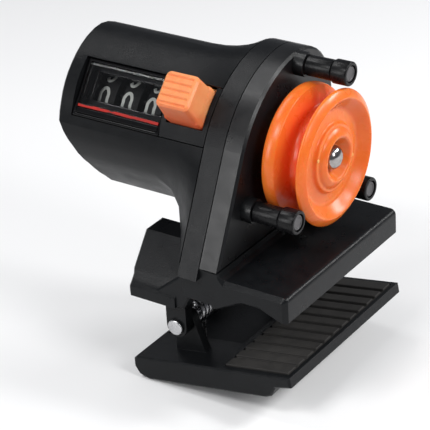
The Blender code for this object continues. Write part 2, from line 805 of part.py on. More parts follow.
def barrel():
    """The barrel with a slot for the display and the button, and bosses for shafts and screws."""
    obj = finish("barrel_housing", barrel_skin(), "body_black")
    slot = block(
        (WINDOW_LEFT_X, -WINDOW_HALF_HEIGHT, FRAME_BACK / 2),
        (BARREL_RIGHT_X + OVERRUN, WINDOW_HALF_HEIGHT, BUTTON_TOP),
    )
    cut(obj, slot, turn=facing(DISPLAY_ANGLE))
    wall_x = BARREL_END_X + BARREL_WALL - GAP / 2
    hole_x = BLOCK_RIGHT_X - BUSH_LENGTH - GAP
    carry_place = axle_place(CARRY_DISTANCE, CARRY_ANGLE)
    join(obj, rod(BUSH_RADIUS + GAP + BEARING_WALL, wall_x, BLOCK_RIGHT_X, SLEEVE_STEPS))
    join(obj, rod(CARRY_RADIUS + GAP + BEARING_WALL, wall_x, BLOCK_RIGHT_X), carry_place)
    cut(obj, rod(BUSH_RADIUS + GAP, hole_x, BLOCK_RIGHT_X + OVERRUN, SLEEVE_STEPS))
    cut(obj, rod(CARRY_RADIUS + GAP, hole_x, BLOCK_RIGHT_X + OVERRUN), carry_place)
    for place in barrel_screw_places():
        boss_x = BARREL_RIGHT_X - SCREW_GRIP - WALL
        join(obj, rod(SCREW_BOSS_RADIUS, boss_x, BARREL_RIGHT_X - GAP), place)
        cut(obj, rod(SCREW_RADIUS + GAP, boss_x + WALL - GAP, BARREL_RIGHT_X + OVERRUN), place)


def button_panel():
    """The panel that fills the barrel's slot round three sides of the button."""
    obj = finish("button_plate", barrel_skin(), "body_black")
    half = WINDOW_HALF_HEIGHT - GAP
    area = block(
        (WINDOW_RIGHT_X, -half, FRAME_BACK / 2), (BARREL_RIGHT_X + OVERRUN, half, BUTTON_TOP)
    )
    boolean("INTERSECT", obj, area, turn=facing(DISPLAY_ANGLE))
    opening = block(
        (BUTTON_LEFT_X - GAP, BUTTON_LOW - GAP, FRAME_BACK / 2),
        (BUTTON_RIGHT_X + GAP, BUTTON_HIGH + 2 * BUTTON_FLANGE, BUTTON_TOP),
    )
    cut(obj, opening, turn=facing(BUTTON_ANGLE))


def display():
    """The insert in the window, with the pane, the red line and the glossy band on its ledge."""
    middle = ((WINDOW_LEFT_X + WINDOW_RIGHT_X) / 2, 0, 0)
    half_length = (WINDOW_RIGHT_X - WINDOW_LEFT_X) / 2 - GAP
    half_height = WINDOW_HALF_HEIGHT - GAP
    ledge = FRAME_FACE - PANE_THICKNESS - GAP
    turn = facing(DISPLAY_ANGLE)
    rings = []
    for wall, out in (
        (0, FRAME_BACK), (0, FRAME_FACE), (FRAME_LIP, FRAME_FACE), (FRAME_LIP, ledge),
        (FRAME_WALL, ledge), (FRAME_WALL, FRAME_BACK),
    ):
        x = half_length - wall
        y = half_height - wall
        rings.append([(*point, out) for point in rounded_box(-x, x, -y, y, WINDOW_CORNER)])
    finish("display_frame", lofted(rings, closed=True), "gloss_black", middle, turn)
    seat = half_length - FRAME_LIP - GAP
    top = half_height - FRAME_LIP - GAP
    line_high = PANE_LOW - GAP
    line_low = line_high - LINE_WIDTH
    for name, kind, low, high in (
        ("window_lens", "clear_pane", PANE_LOW, top),
        ("index_line", "line_red", line_low, line_high),
        ("index_band", "gloss_black", -top, line_low - GAP),
    ):
        strip = block((-seat, low, ledge + GAP), (seat, high, FRAME_FACE))
        finish(name, strip, kind, middle, turn)


def button():
    """The reset button: a flange under the panel, a skirt in its opening and a ribbed top."""
    left = BUTTON_LEFT_X - BUTTON_X
    right = BUTTON_RIGHT_X - BUTTON_X
    top_right = BUTTON_TOP_RIGHT_X - BUTTON_X
    flange_bottom = BUTTON_FLANGE_TOP - BUTTON_FLANGE_THICKNESS
    edge = BUTTON_ROUND
    rings = []
    for out, grow, right_end, low in (
        (flange_bottom, BUTTON_FLANGE, right, BUTTON_LOW),
        (BUTTON_FLANGE_TOP, BUTTON_FLANGE, right, BUTTON_LOW),
        (BUTTON_FLANGE_TOP, 0, right, BUTTON_LOW),
        (BUTTON_SHOULDER - edge, 0, right, BUTTON_LOW),
        (BUTTON_SHOULDER, -edge / 2, right, BUTTON_LOW),
        (BUTTON_TOP - edge, 0, top_right, BUTTON_TOP_LOW),
        (BUTTON_TOP, -edge, top_right, BUTTON_TOP_LOW),
    ):
        outline = rounded_box(
            left - grow, right_end + grow, low - grow, BUTTON_HIGH + grow, BUTTON_CORNER
        )
        rings.append([(*point, out) for point in outline])
    at = (BUTTON_X, 0, 0)
    turn = facing(BUTTON_ANGLE)
    obj = finish("reset_button", lofted(rings), "button_orange", at, turn)
    circle = arc((0, button_middle()), STUB_RADIUS, 0, TURN, SHAFT_STEPS)[:-1]
    stub_ends = (flange_bottom - STUB_LENGTH, BUTTON_FLANGE_TOP)
    join(obj, lofted([[(*point, out) for point in circle] for out in stub_ends]), at, turn)
    first = (BUTTON_TOP_LOW + BUTTON_HIGH - BUTTON_RIBS * BUTTON_RIB_PITCH) / 2
    above = BUTTON_TOP + BUTTON_GROOVE
    comb = [(first, above + OVERRUN), (first, above)]
    for i in range(BUTTON_RIBS):
        start = first + BUTTON_RIB_PITCH * i
        comb += [
            (start + BUTTON_RIB_PITCH / 2, BUTTON_TOP - BUTTON_GROOVE),
            (start + BUTTON_RIB_PITCH, above),
        ]
    comb.append((comb[-1][0], above + OVERRUN))
    grooves = along_x((left - OVERRUN, comb), (top_right - 2 * BUTTON_ROUND, comb))
    cut(obj, grooves, at, turn)


def reset_spring():
    """The coil between the shelf and the button's flange, round the button's stub."""
    clear = GAP + RESET_SPRING_WIRE / 2
    start = SHELF_TOP + clear
    end = BUTTON_FLANGE_TOP - BUTTON_FLANGE_THICKNESS - clear
    steps = RESET_SPRING_CURLS * CURL_POINTS
    points = []
    for i in range(steps + 1):
        x, y = polar(RESET_SPRING_RADIUS, TURN * i / CURL_POINTS)
        points.append((x, y + button_middle(), start + (end - start) * i / steps))
    obj = wire("reset_spring", points, RESET_SPRING_WIRE)
    obj.rotation_euler = facing(BUTTON_ANGLE)
    placed(obj, (BUTTON_X, 0, 0))


def wheel():
    """The line wheel, with a round groove, dished faces and a stepped hub."""
    back = CREST_X - RIM_PITCH
    middle = (CREST_X + back) / 2
    half = CREST_WIDTH / 2
    bore = AXLE_RADIUS + GAP
    flank_radius = WHEEL_RADIUS - CREST_DROP
    face = RIM_FACE_X - CREST_X
    profile = [
        (HUB_FLOOR_X, bore),
        (HUB_FLOOR_X, HUB_FLOOR_RADIUS),
        (HUB_LIP_X, HUB_LIP_INNER_RADIUS),
        (HUB_LIP_X, HUB_LIP_RADIUS),
        (HUB_RIDGE_X, HUB_RIDGE_RADIUS),
        (HUB_STEP_X, HUB_STEP_INNER_RADIUS),
        (HUB_STEP_X, HUB_STEP_RADIUS),
        (HUB_FOOT_X, HUB_RADIUS),
        (DISH_X, DISH_RADIUS),
        (RIM_INNER_X, RIM_INNER_RADIUS),
        (RIM_FACE_X, RIM_FACE_RADIUS),
        (RIM_FACE_X, RIM_EDGE_RADIUS),
        (CREST_X + half, WHEEL_RADIUS),
        (CREST_X - half, WHEEL_RADIUS),
        (CREST_X - FLANK_START, flank_radius),
        (middle + GROOVE_FLOOR / 2, GROOVE_RADIUS),
        (middle - GROOVE_FLOOR / 2, GROOVE_RADIUS),
        (back + FLANK_START, flank_radius),
        (back + half, WHEEL_RADIUS),
        (back - half, WHEEL_RADIUS),
        (back - face, RIM_EDGE_RADIUS),
        (back - face / 2, RIM_INNER_RADIUS),
        (BACK_DISH_X, DISH_RADIUS),
        (BACK_DISH_X, BACK_HUB_RADIUS),
        (BACK_HUB_X, BACK_HUB_RADIUS),
        (BACK_HUB_X, bore),
    ]
    finish("line_wheel", turned(profile, WHEEL_STEPS), "wheel_orange")


def axle():
    """The shaft with its domed head, stepped down for the pinion at its left end."""
    collar_x = HUB_FLOOR_X + GAP
    dome_x = collar_x + DOME_COLLAR
    step_x = FIRST_GEAR_X + GAP
    profile = [
        (AXLE_TIP_X, 0), (AXLE_TIP_X, AXLE_TIP_RADIUS), (step_x, AXLE_TIP_RADIUS),
        (step_x, AXLE_RADIUS), (collar_x, AXLE_RADIUS), (collar_x, DOME_RADIUS),
    ]
    for i in range(DOME_STEPS):
        across, up = polar(1, TURN / 4 * i / DOME_STEPS)
        profile.append((dome_x + DOME_HEIGHT * up, DOME_RADIUS * across))
    profile.append((dome_x + DOME_HEIGHT, 0))
    finish("wheel_axle", turned(profile, SLEEVE_STEPS), "dome_chrome")


def gear_distances():
    """Axle to idler one, idler one to idler two, and idler two to the counter shaft."""
    half = GEAR_MODULE / 2
    first = half * (PINION_TEETH + FIRST_TEETH)
    second = half * (PINION_TEETH + SECOND_TEETH)
    return first, second, second


def idler_one_angle():
    first, second, third = gear_distances()
    spread = math.acos((first**2 + third**2 - second**2) / (2 * first * third))
    return IDLER_TWO_ANGLE + spread


def idler_one_place():
    return axle_place(gear_distances()[0], idler_one_angle())


def idler_two_place():
    return axle_place(gear_distances()[2], IDLER_TWO_ANGLE)


def gear_train():
    """Axle pinion, two idlers and the output gear, in three planes one behind the other."""
    rights = [FIRST_GEAR_X - GEAR_STEP * i for i in range(3)]
    lefts = [right - GEAR_WIDTH for right in rights]
    bore = IDLER_PIN_RADIUS + GAP
    one = idler_one_place()
    two = idler_two_place()
    from_one = idler_one_angle() + TURN / 2
    one_to_two = math.atan2(two[2] - one[2], two[1] - one[1])
    from_two = IDLER_TWO_ANGLE + TURN / 2
    fused = GAP / 2

    teeth = gear(GEAR_MODULE, PINION_TEETH, idler_one_angle(), lefts[0], rights[0])
    pinion = finish("axle_pinion", teeth, "bush_brass")
    cut(pinion, rod(AXLE_TIP_RADIUS + GAP, AXLE_TIP_X - OVERRUN, rights[0] + OVERRUN))

    space = meeting(FIRST_TEETH, from_one)
    teeth = gear(GEAR_MODULE, FIRST_TEETH, space, lefts[0], rights[0])
    gear_one = finish("idler_gear_one", teeth, "gear_white", one)
    join(gear_one, gear(GEAR_MODULE, PINION_TEETH, one_to_two, lefts[1], lefts[0] + fused), one)
    cut(gear_one, rod(bore, lefts[1] - OVERRUN, rights[0] + OVERRUN), one)

    space = meeting(SECOND_TEETH, one_to_two + TURN / 2)
    teeth = gear(GEAR_MODULE, SECOND_TEETH, space, lefts[1], rights[1])
    gear_two = finish("idler_gear_two", teeth, "gear_white", two)
    left = CHAMBER_LEFT_X + GAP
    right = CHAMBER_RIGHT_X - GAP
    join(gear_two, gear(GEAR_MODULE, PINION_TEETH, from_two, left, lefts[1] + fused), two)
    join(gear_two, rod(IDLER_HUB_RADIUS, rights[1] - fused, right), two)
    cut(gear_two, rod(bore, left - OVERRUN, right + OVERRUN), two)

    space = meeting(SECOND_TEETH, IDLER_TWO_ANGLE)
    teeth = gear(GEAR_MODULE, SECOND_TEETH, space, lefts[2], rights[2])
    output = finish("output_gear", teeth, "gear_white")
    hub_left = REAR_BUSH_RIGHT_X + GAP
    join(output, rod(BUSH_RADIUS, hub_left, lefts[2] + fused, SLEEVE_STEPS))
    cut(output, rod(COUNTER_RADIUS + GAP, hub_left - OVERRUN, rights[2] + OVERRUN))

    pin_right = COVER_FACE_X - PIN_SEAT - GAP
    pin_one = rod(IDLER_PIN_RADIUS, lefts[1] - GAP, pin_right)
    finish("idler_pin_one", pin_one, "bright_steel", one)
    pin_two = rod(IDLER_PIN_RADIUS, CHASSIS_LEFT_X + PIN_SEAT + GAP, pin_right)
    finish("idler_pin_two", pin_two, "bright_steel", two)


def bushes():
    """Plain bearings of the axle and of the counter shaft."""
    axle_bush = sleeve(AXLE_BUSH_RADIUS, AXLE_RADIUS + GAP, FIRST_GEAR_X + GAP, BACK_HUB_X - GAP)
    finish("axle_bush", axle_bush, "bush_brass")
    bore = COUNTER_RADIUS + GAP
    rear = sleeve(BUSH_RADIUS, bore, CHASSIS_LEFT_X, REAR_BUSH_RIGHT_X, SHAFT_STEPS)
    finish("rear_bush", rear, "bush_brass")
    left = sleeve(BUSH_RADIUS, bore, BLOCK_RIGHT_X - BUSH_LENGTH, BLOCK_RIGHT_X, SHAFT_STEPS)
    finish("left_bush", left, "bush_brass")


def drums():
    """Three cups on the counter shaft. The tens and the hundreds carry a gear on their right."""
    bore = COUNTER_RADIUS + GAP
    inner = DRUM_RADIUS - DRUM_RIM
    module = 2 * CARRY_DISTANCE / (CARRY_TEETH + CARRY_PINION_TEETH)
    profile = [
        (0, bore), (0, DRUM_RADIUS), (-DRUM_WIDTH, DRUM_RADIUS), (-DRUM_WIDTH, inner),
        (-DRUM_RIM, inner), (-DRUM_RIM, DRUM_HUB_RADIUS), (-DRUM_WIDTH, DRUM_HUB_RADIUS),
        (-DRUM_WIDTH, bore),
    ]
    for i, name in enumerate(DRUMS):
        place = (UNITS_RIGHT_X - DRUM_PITCH * i, 0, 0)
        obj = finish(f"{name}_wheel", turned(profile, DRUM_STEPS), "drum_black", place)
        if i == 0:
            continue
        space = meeting(CARRY_TEETH, CARRY_ANGLE)
        join(obj, gear(module, CARRY_TEETH, space, -DRUM_RIM / 2, CARRY_WIDTH), place)
        cut(obj, rod(bore, -DRUM_WIDTH - OVERRUN, CARRY_WIDTH + OVERRUN), place)
        beside = axle_place(CARRY_DISTANCE, CARRY_ANGLE, place[0])
        facing_drum = CARRY_ANGLE + TURN / 2
        teeth = gear(module, CARRY_PINION_TEETH, facing_drum, GAP, GAP + CARRY_WIDTH)
        pinion = finish(f"carry_pinion_{name}", teeth, "gear_white", beside)
        cut(pinion, rod(CARRY_RADIUS + GAP, -OVERRUN, CARRY_WIDTH + 2 * OVERRUN), beside)


def counter_shafts():
    left = BLOCK_RIGHT_X - BUSH_LENGTH
    finish("counter_shaft", rod(COUNTER_RADIUS, left, COUNTER_RIGHT_X), "bright_steel")
    carry = rod(CARRY_RADIUS, left, CHAMBER_LEFT_X - GAP)
    finish("carry_shaft", carry, "bright_steel", axle_place(CARRY_DISTANCE, CARRY_ANGLE))


def guide_posts():
    """A fixed pin, a free sleeve that the line runs on, and an end cap, three times."""
    cap_left = CAP_END_X - CAP_LENGTH
    head_right = CAP_END_X - GAP
    head_left = head_right - PIN_HEAD
    floor = head_left - GAP
    recess = PIN_HEAD_RADIUS + GAP
    bore = PIN_RADIUS + GAP
    pin = [
        (COVER_FACE_X - PIN_TAIL, 0), (COVER_FACE_X - PIN_TAIL, PIN_RADIUS),
        (head_left, PIN_RADIUS), (head_left, PIN_HEAD_RADIUS), (head_right, PIN_HEAD_RADIUS),
        (head_right, 0),
    ]
    cap = [
        (cap_left, bore), (cap_left, CAP_RADIUS - CAP_EDGE), (cap_left + CAP_EDGE, CAP_RADIUS),
        (CAP_END_X - CAP_EDGE, CAP_RADIUS), (CAP_END_X, CAP_RADIUS - CAP_EDGE),
        (CAP_END_X, recess), (floor, recess), (floor, bore),
    ]
    for name, angle in POST_ANGLES.items():
        place = axle_place(POST_DISTANCE, angle)
        finish(f"guide_pin_{name}", turned(pin, SHAFT_STEPS), "pin_grey", place)
        finish(f"guide_cap_{name}", turned(cap, SLEEVE_STEPS), "cover_black", place)
        roller = sleeve(ROLLER_RADIUS, bore, COVER_FACE_X + BOSS_LENGTH + GAP, cap_left - GAP)
        finish(f"guide_roller_{name}", roller, "cover_black", place)


def screws():
    """The cover's screws come from the barrel's side, the barrel's from inside the chassis."""
    cover_head = CHASSIS_LEFT_X - GAP - SCREW_HEAD
    barrel_head = CHAMBER_LEFT_X + GAP + SCREW_HEAD
    for name, place in zip(("upper", "lower"), cover_screw_places()):
        screw(f"cover_screw_{name}", place, cover_head, 1)
    for name, place in zip(("upper", "lower"), barrel_screw_places()):
        screw(f"barrel_screw_{name}", place, barrel_head, -1)


def jaw_point(along, down):
    """A point of the jaw's section, from the hinge: along it from the right rim, and down."""
    x = JAW_RIGHT_X - HINGE_X - along * math.cos(JAW_TILT) + down * math.sin(JAW_TILT)
    z = JAW_RIGHT_Z - HINGE_Z - along * math.sin(JAW_TILT) - down * math.cos(JAW_TILT)
    return x, z


def jaw_block(start, end, bottom, front, rear):
    """A block that opens the jaw from above."""
    top = -OVERRUN
    outline = [
        jaw_point(start, top), jaw_point(end, top), jaw_point(end, bottom), jaw_point(start, bottom)
    ]
    return along_y((front, outline), (rear, outline))


def jaw():
    """The lower jaw: a pocket for the pad, a trough at the left and two hinge ears."""
    outline = [jaw_point(JAW_LENGTH * along, JAW_DEPTH * down) for along, down in JAW_SHARES]
    body = ends_along_y(outline, BASE_FRONT_Y, BASE_REAR_Y, JAW_EDGE)
    obj = finish("clamp_jaw", body, "body_black", HINGE)
    pocket_end = PAD_START + PAD_WIDTH + 2 * GAP
    pocket = jaw_block(PAD_START, pocket_end, PAD_POCKET, PAD_FRONT_Y - GAP, PAD_REAR_Y + GAP)
    cut(obj, pocket, HINGE)
    trough = jaw_block(TROUGH_START, TROUGH_END, TROUGH_DEPTH, TROUGH_FRONT_Y, TROUGH_REAR_Y)
    cut(obj, trough, HINGE)
    right = (JAW_RIGHT_X - HINGE_X) * math.cos(JAW_TILT)
    above = (JAW_RIGHT_Z - HINGE_Z) * math.sin(JAW_TILT)
    over_hinge = right + above
    round_top = arc((0, 0), EAR_RADIUS, TURN / 2 + JAW_TILT, JAW_TILT, LUG_STEPS)
    for front, foot in ((FRONT_EAR_Y, OVERRUN), (REAR_EAR_Y, TROUGH_DEPTH + OVERRUN)):
        ear = round_top + [
            jaw_point(over_hinge - EAR_HALF_FOOT, foot), jaw_point(over_hinge + EAR_HALF_FOOT, foot)
        ]
        join(obj, along_y((front, ear), (front + EAR_WIDTH, ear)), HINGE)
        hole = rod(HINGE_RADIUS + GAP, front - OVERRUN, front + EAR_WIDTH + OVERRUN)
        cut(obj, hole, HINGE, ALONG_ROD)


def jaw_pad():
    """The rubber pad in the jaw's pocket, ribbed across."""
    bottom = PAD_POCKET - GAP
    top = bottom - PAD_THICKNESS
    pitch = (PAD_REAR_Y - PAD_FRONT_Y) / PAD_RIBS
    comb = [(PAD_FRONT_Y, bottom), (PAD_FRONT_Y, top)]
    for i in range(1, PAD_RIBS):
        middle = PAD_FRONT_Y + pitch * i
        near = middle - PAD_GROOVE_WIDTH / 2
        far = middle + PAD_GROOVE_WIDTH / 2
        comb += [(near, top), (near, top + PAD_GROOVE), (far, top + PAD_GROOVE), (far, top)]
    comb += [(PAD_REAR_Y, top), (PAD_REAR_Y, bottom)]
    rings = []
    for along in (PAD_START + GAP, PAD_START + GAP + PAD_WIDTH):
        points = [(jaw_point(along, down), y) for y, down in comb]
        rings.append([(x, y, z) for (x, z), y in points])
    finish("jaw_pad", lofted(rings), "pad_rubber", HINGE)


def hinge_pin():
    front = FRONT_LUG_Y - GAP
    rear = REAR_LUG_Y + GAP
    profile = [
        (front - HINGE_HEAD, 0), (front - HINGE_HEAD, HINGE_HEAD_RADIUS),
        (front, HINGE_HEAD_RADIUS), (front, HINGE_RADIUS), (rear, HINGE_RADIUS),
        (rear, HINGE_HEAD_RADIUS), (rear + HINGE_HEAD, HINGE_HEAD_RADIUS), (rear + HINGE_HEAD, 0),
    ]
    finish("hinge_pin", turned(profile, SHAFT_STEPS), "bright_steel", HINGE, ALONG_ROD)


def jaw_spring():
    """The coil round the hinge pin, with one leg up to the rail and one down to the jaw."""
    leg_x = -JAW_SPRING_RADIUS
    rear = JAW_SPRING_Y + JAW_SPRING_LENGTH
    upper = RAIL_BOTTOM_Z - HINGE_Z - GAP
    slope = math.tan(JAW_TILT)
    floor_x, floor_z = jaw_point(0, TROUGH_DEPTH)
    lower = floor_z + (leg_x - floor_x + JAW_SPRING_WIRE / 2) * slope + GAP
    steps = JAW_SPRING_CURLS * CURL_POINTS
    points = [(leg_x, JAW_SPRING_Y, upper), (leg_x, JAW_SPRING_Y, upper / 2)]
    for i in range(steps + 1):
        x, z = polar(JAW_SPRING_RADIUS, TURN / 2 + TURN * i / CURL_POINTS)
        points.append((x, JAW_SPRING_Y + JAW_SPRING_LENGTH * i / steps, z))
    points += [(leg_x, rear, lower / 2), (leg_x, rear, lower)]
    placed(wire("jaw_spring", points, JAW_SPRING_WIRE), HINGE)


def build():
    for obj in list(bpy.data.objects):
        bpy.data.objects.remove(obj, do_unlink=True)
    for piece in (
        chassis, cover, barrel, button_panel, display, button, reset_spring, wheel, axle,
        gear_train, bushes, drums, counter_shafts, guide_posts, screws, jaw, jaw_pad, hinge_pin,
        jaw_spring,
    ):
        piece()


build()
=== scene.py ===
import json
import math

import bmesh
import bpy
from mathutils import Matrix, Vector

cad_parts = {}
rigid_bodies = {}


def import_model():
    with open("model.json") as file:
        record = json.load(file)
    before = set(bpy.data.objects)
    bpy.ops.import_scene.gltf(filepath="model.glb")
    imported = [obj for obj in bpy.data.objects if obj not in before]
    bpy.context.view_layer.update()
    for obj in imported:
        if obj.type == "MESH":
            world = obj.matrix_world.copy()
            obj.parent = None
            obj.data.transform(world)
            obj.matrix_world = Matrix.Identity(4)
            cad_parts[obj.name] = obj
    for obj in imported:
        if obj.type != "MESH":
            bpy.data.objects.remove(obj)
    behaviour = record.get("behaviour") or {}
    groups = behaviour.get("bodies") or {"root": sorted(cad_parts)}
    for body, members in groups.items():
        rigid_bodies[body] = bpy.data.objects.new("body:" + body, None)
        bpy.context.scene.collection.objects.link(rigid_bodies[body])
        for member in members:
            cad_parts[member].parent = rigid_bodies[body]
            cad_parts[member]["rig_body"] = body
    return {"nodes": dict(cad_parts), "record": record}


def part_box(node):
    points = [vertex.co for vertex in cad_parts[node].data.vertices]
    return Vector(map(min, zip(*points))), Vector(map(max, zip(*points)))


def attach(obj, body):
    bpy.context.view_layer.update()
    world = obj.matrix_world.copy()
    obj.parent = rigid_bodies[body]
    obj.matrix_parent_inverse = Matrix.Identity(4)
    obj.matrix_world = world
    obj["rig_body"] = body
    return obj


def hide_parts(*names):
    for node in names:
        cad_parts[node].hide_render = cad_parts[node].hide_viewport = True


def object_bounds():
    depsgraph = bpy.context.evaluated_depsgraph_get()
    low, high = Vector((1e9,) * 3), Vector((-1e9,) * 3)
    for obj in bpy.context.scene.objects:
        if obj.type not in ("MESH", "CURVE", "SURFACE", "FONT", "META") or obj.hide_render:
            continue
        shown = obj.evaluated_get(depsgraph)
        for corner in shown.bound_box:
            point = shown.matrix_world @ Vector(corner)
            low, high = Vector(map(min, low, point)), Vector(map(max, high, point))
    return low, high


# Clip-on line counter for a rod. Lengths are written in millimetres.
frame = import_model()
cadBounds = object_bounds()
mm = 0.001
fullTurn = 2 * math.pi
axleCentre = Vector((6.0, 7.5, 34.0))  # middle of the wheel's front rim


def startLook(name, values):
    material = bpy.data.materials.new(name)
    material.use_nodes = True
    shader = material.node_tree.nodes["Principled BSDF"]
    shader.inputs["Base Color"].default_value = (*values["colour"], 1.0)
    shader.inputs["Roughness"].default_value = values["rough"]
    for socket, value in values.get("sockets", {}).items():
        shader.inputs[socket].default_value = value
    place = material.node_tree.nodes.new("ShaderNodeTexCoord")
    return material, shader, place.outputs["Object"]


noiseValues = {"rough": 0.6, "fineDetail": 2.0, "cloudDetail": 3.0, "wearDetail": 4.0}


def addNoise(material, coords, size, detail, stretch=None):
    # Noise whose features are about size millimetres wide, drawn out along an axis if stretch is given
    tree = material.node_tree
    noise = tree.nodes.new("ShaderNodeTexNoise")
    noise.inputs["Scale"].default_value = 1 / (size * mm)
    noise.inputs["Detail"].default_value = detail
    noise.inputs["Roughness"].default_value = noiseValues["rough"]
    if stretch:
        mapping = tree.nodes.new("ShaderNodeMapping")
        mapping.inputs["Scale"].default_value = stretch
        tree.links.new(coords, mapping.inputs["Vector"])
        coords = mapping.outputs["Vector"]
    tree.links.new(coords, noise.inputs["Vector"])
    return noise.outputs["Fac"]


def spread(material, value, low, high, fromLow=0.3, fromHigh=0.7):
    # Carries a value over to the range from low to high; noise mostly lies between 0.3 and 0.7
    tree = material.node_tree
    node = tree.nodes.new("ShaderNodeMapRange")
    node.inputs["From Min"].default_value = fromLow
    node.inputs["From Max"].default_value = fromHigh
    node.inputs["To Min"].default_value = low
    node.inputs["To Max"].default_value = high
    tree.links.new(value, node.inputs["Value"])
    return node.outputs["Result"]


def blendColours(material, value, first, second):
    tree = material.node_tree
    node = tree.nodes.new("ShaderNodeMix")
    node.data_type = "RGBA"
    node.inputs["A"].default_value = (*first, 1.0)
    node.inputs["B"].default_value = (*second, 1.0)
    tree.links.new(value, node.inputs["Factor"])
    return node.outputs["Result"]


def addBump(material, shader, height, depth):
    tree = material.node_tree
    node = tree.nodes.new("ShaderNodeBump")
    node.inputs["Distance"].default_value = depth * mm
    tree.links.new(height, node.inputs["Height"])
    tree.links.new(node.outputs["Normal"], shader.inputs["Normal"])


def mouldedLook(name, values):
    # Plastic or metal with a fine grain in relief, cloudy roughness and a slight shift of colour
    material, shader, coords = startLook(name, values)
    links = material.node_tree.links
    stretch = values.get("stretch")
    cloud = addNoise(material, coords, values["cloudSize"], noiseValues["cloudDetail"], stretch)
    grain = addNoise(material, coords, values["grainSize"], noiseValues["fineDetail"], stretch)
    smoothest, roughest = values["rough"] - values["roughShift"], values["rough"] + values["roughShift"]
    links.new(spread(material, cloud, smoothest, roughest), shader.inputs["Roughness"])
    colour = blendColours(material, spread(material, cloud, 0, 1), values["colour"], values["tint"])
    links.new(colour, shader.inputs["Base Color"])
    addBump(material, shader, grain, values["grainDepth"])
    return material


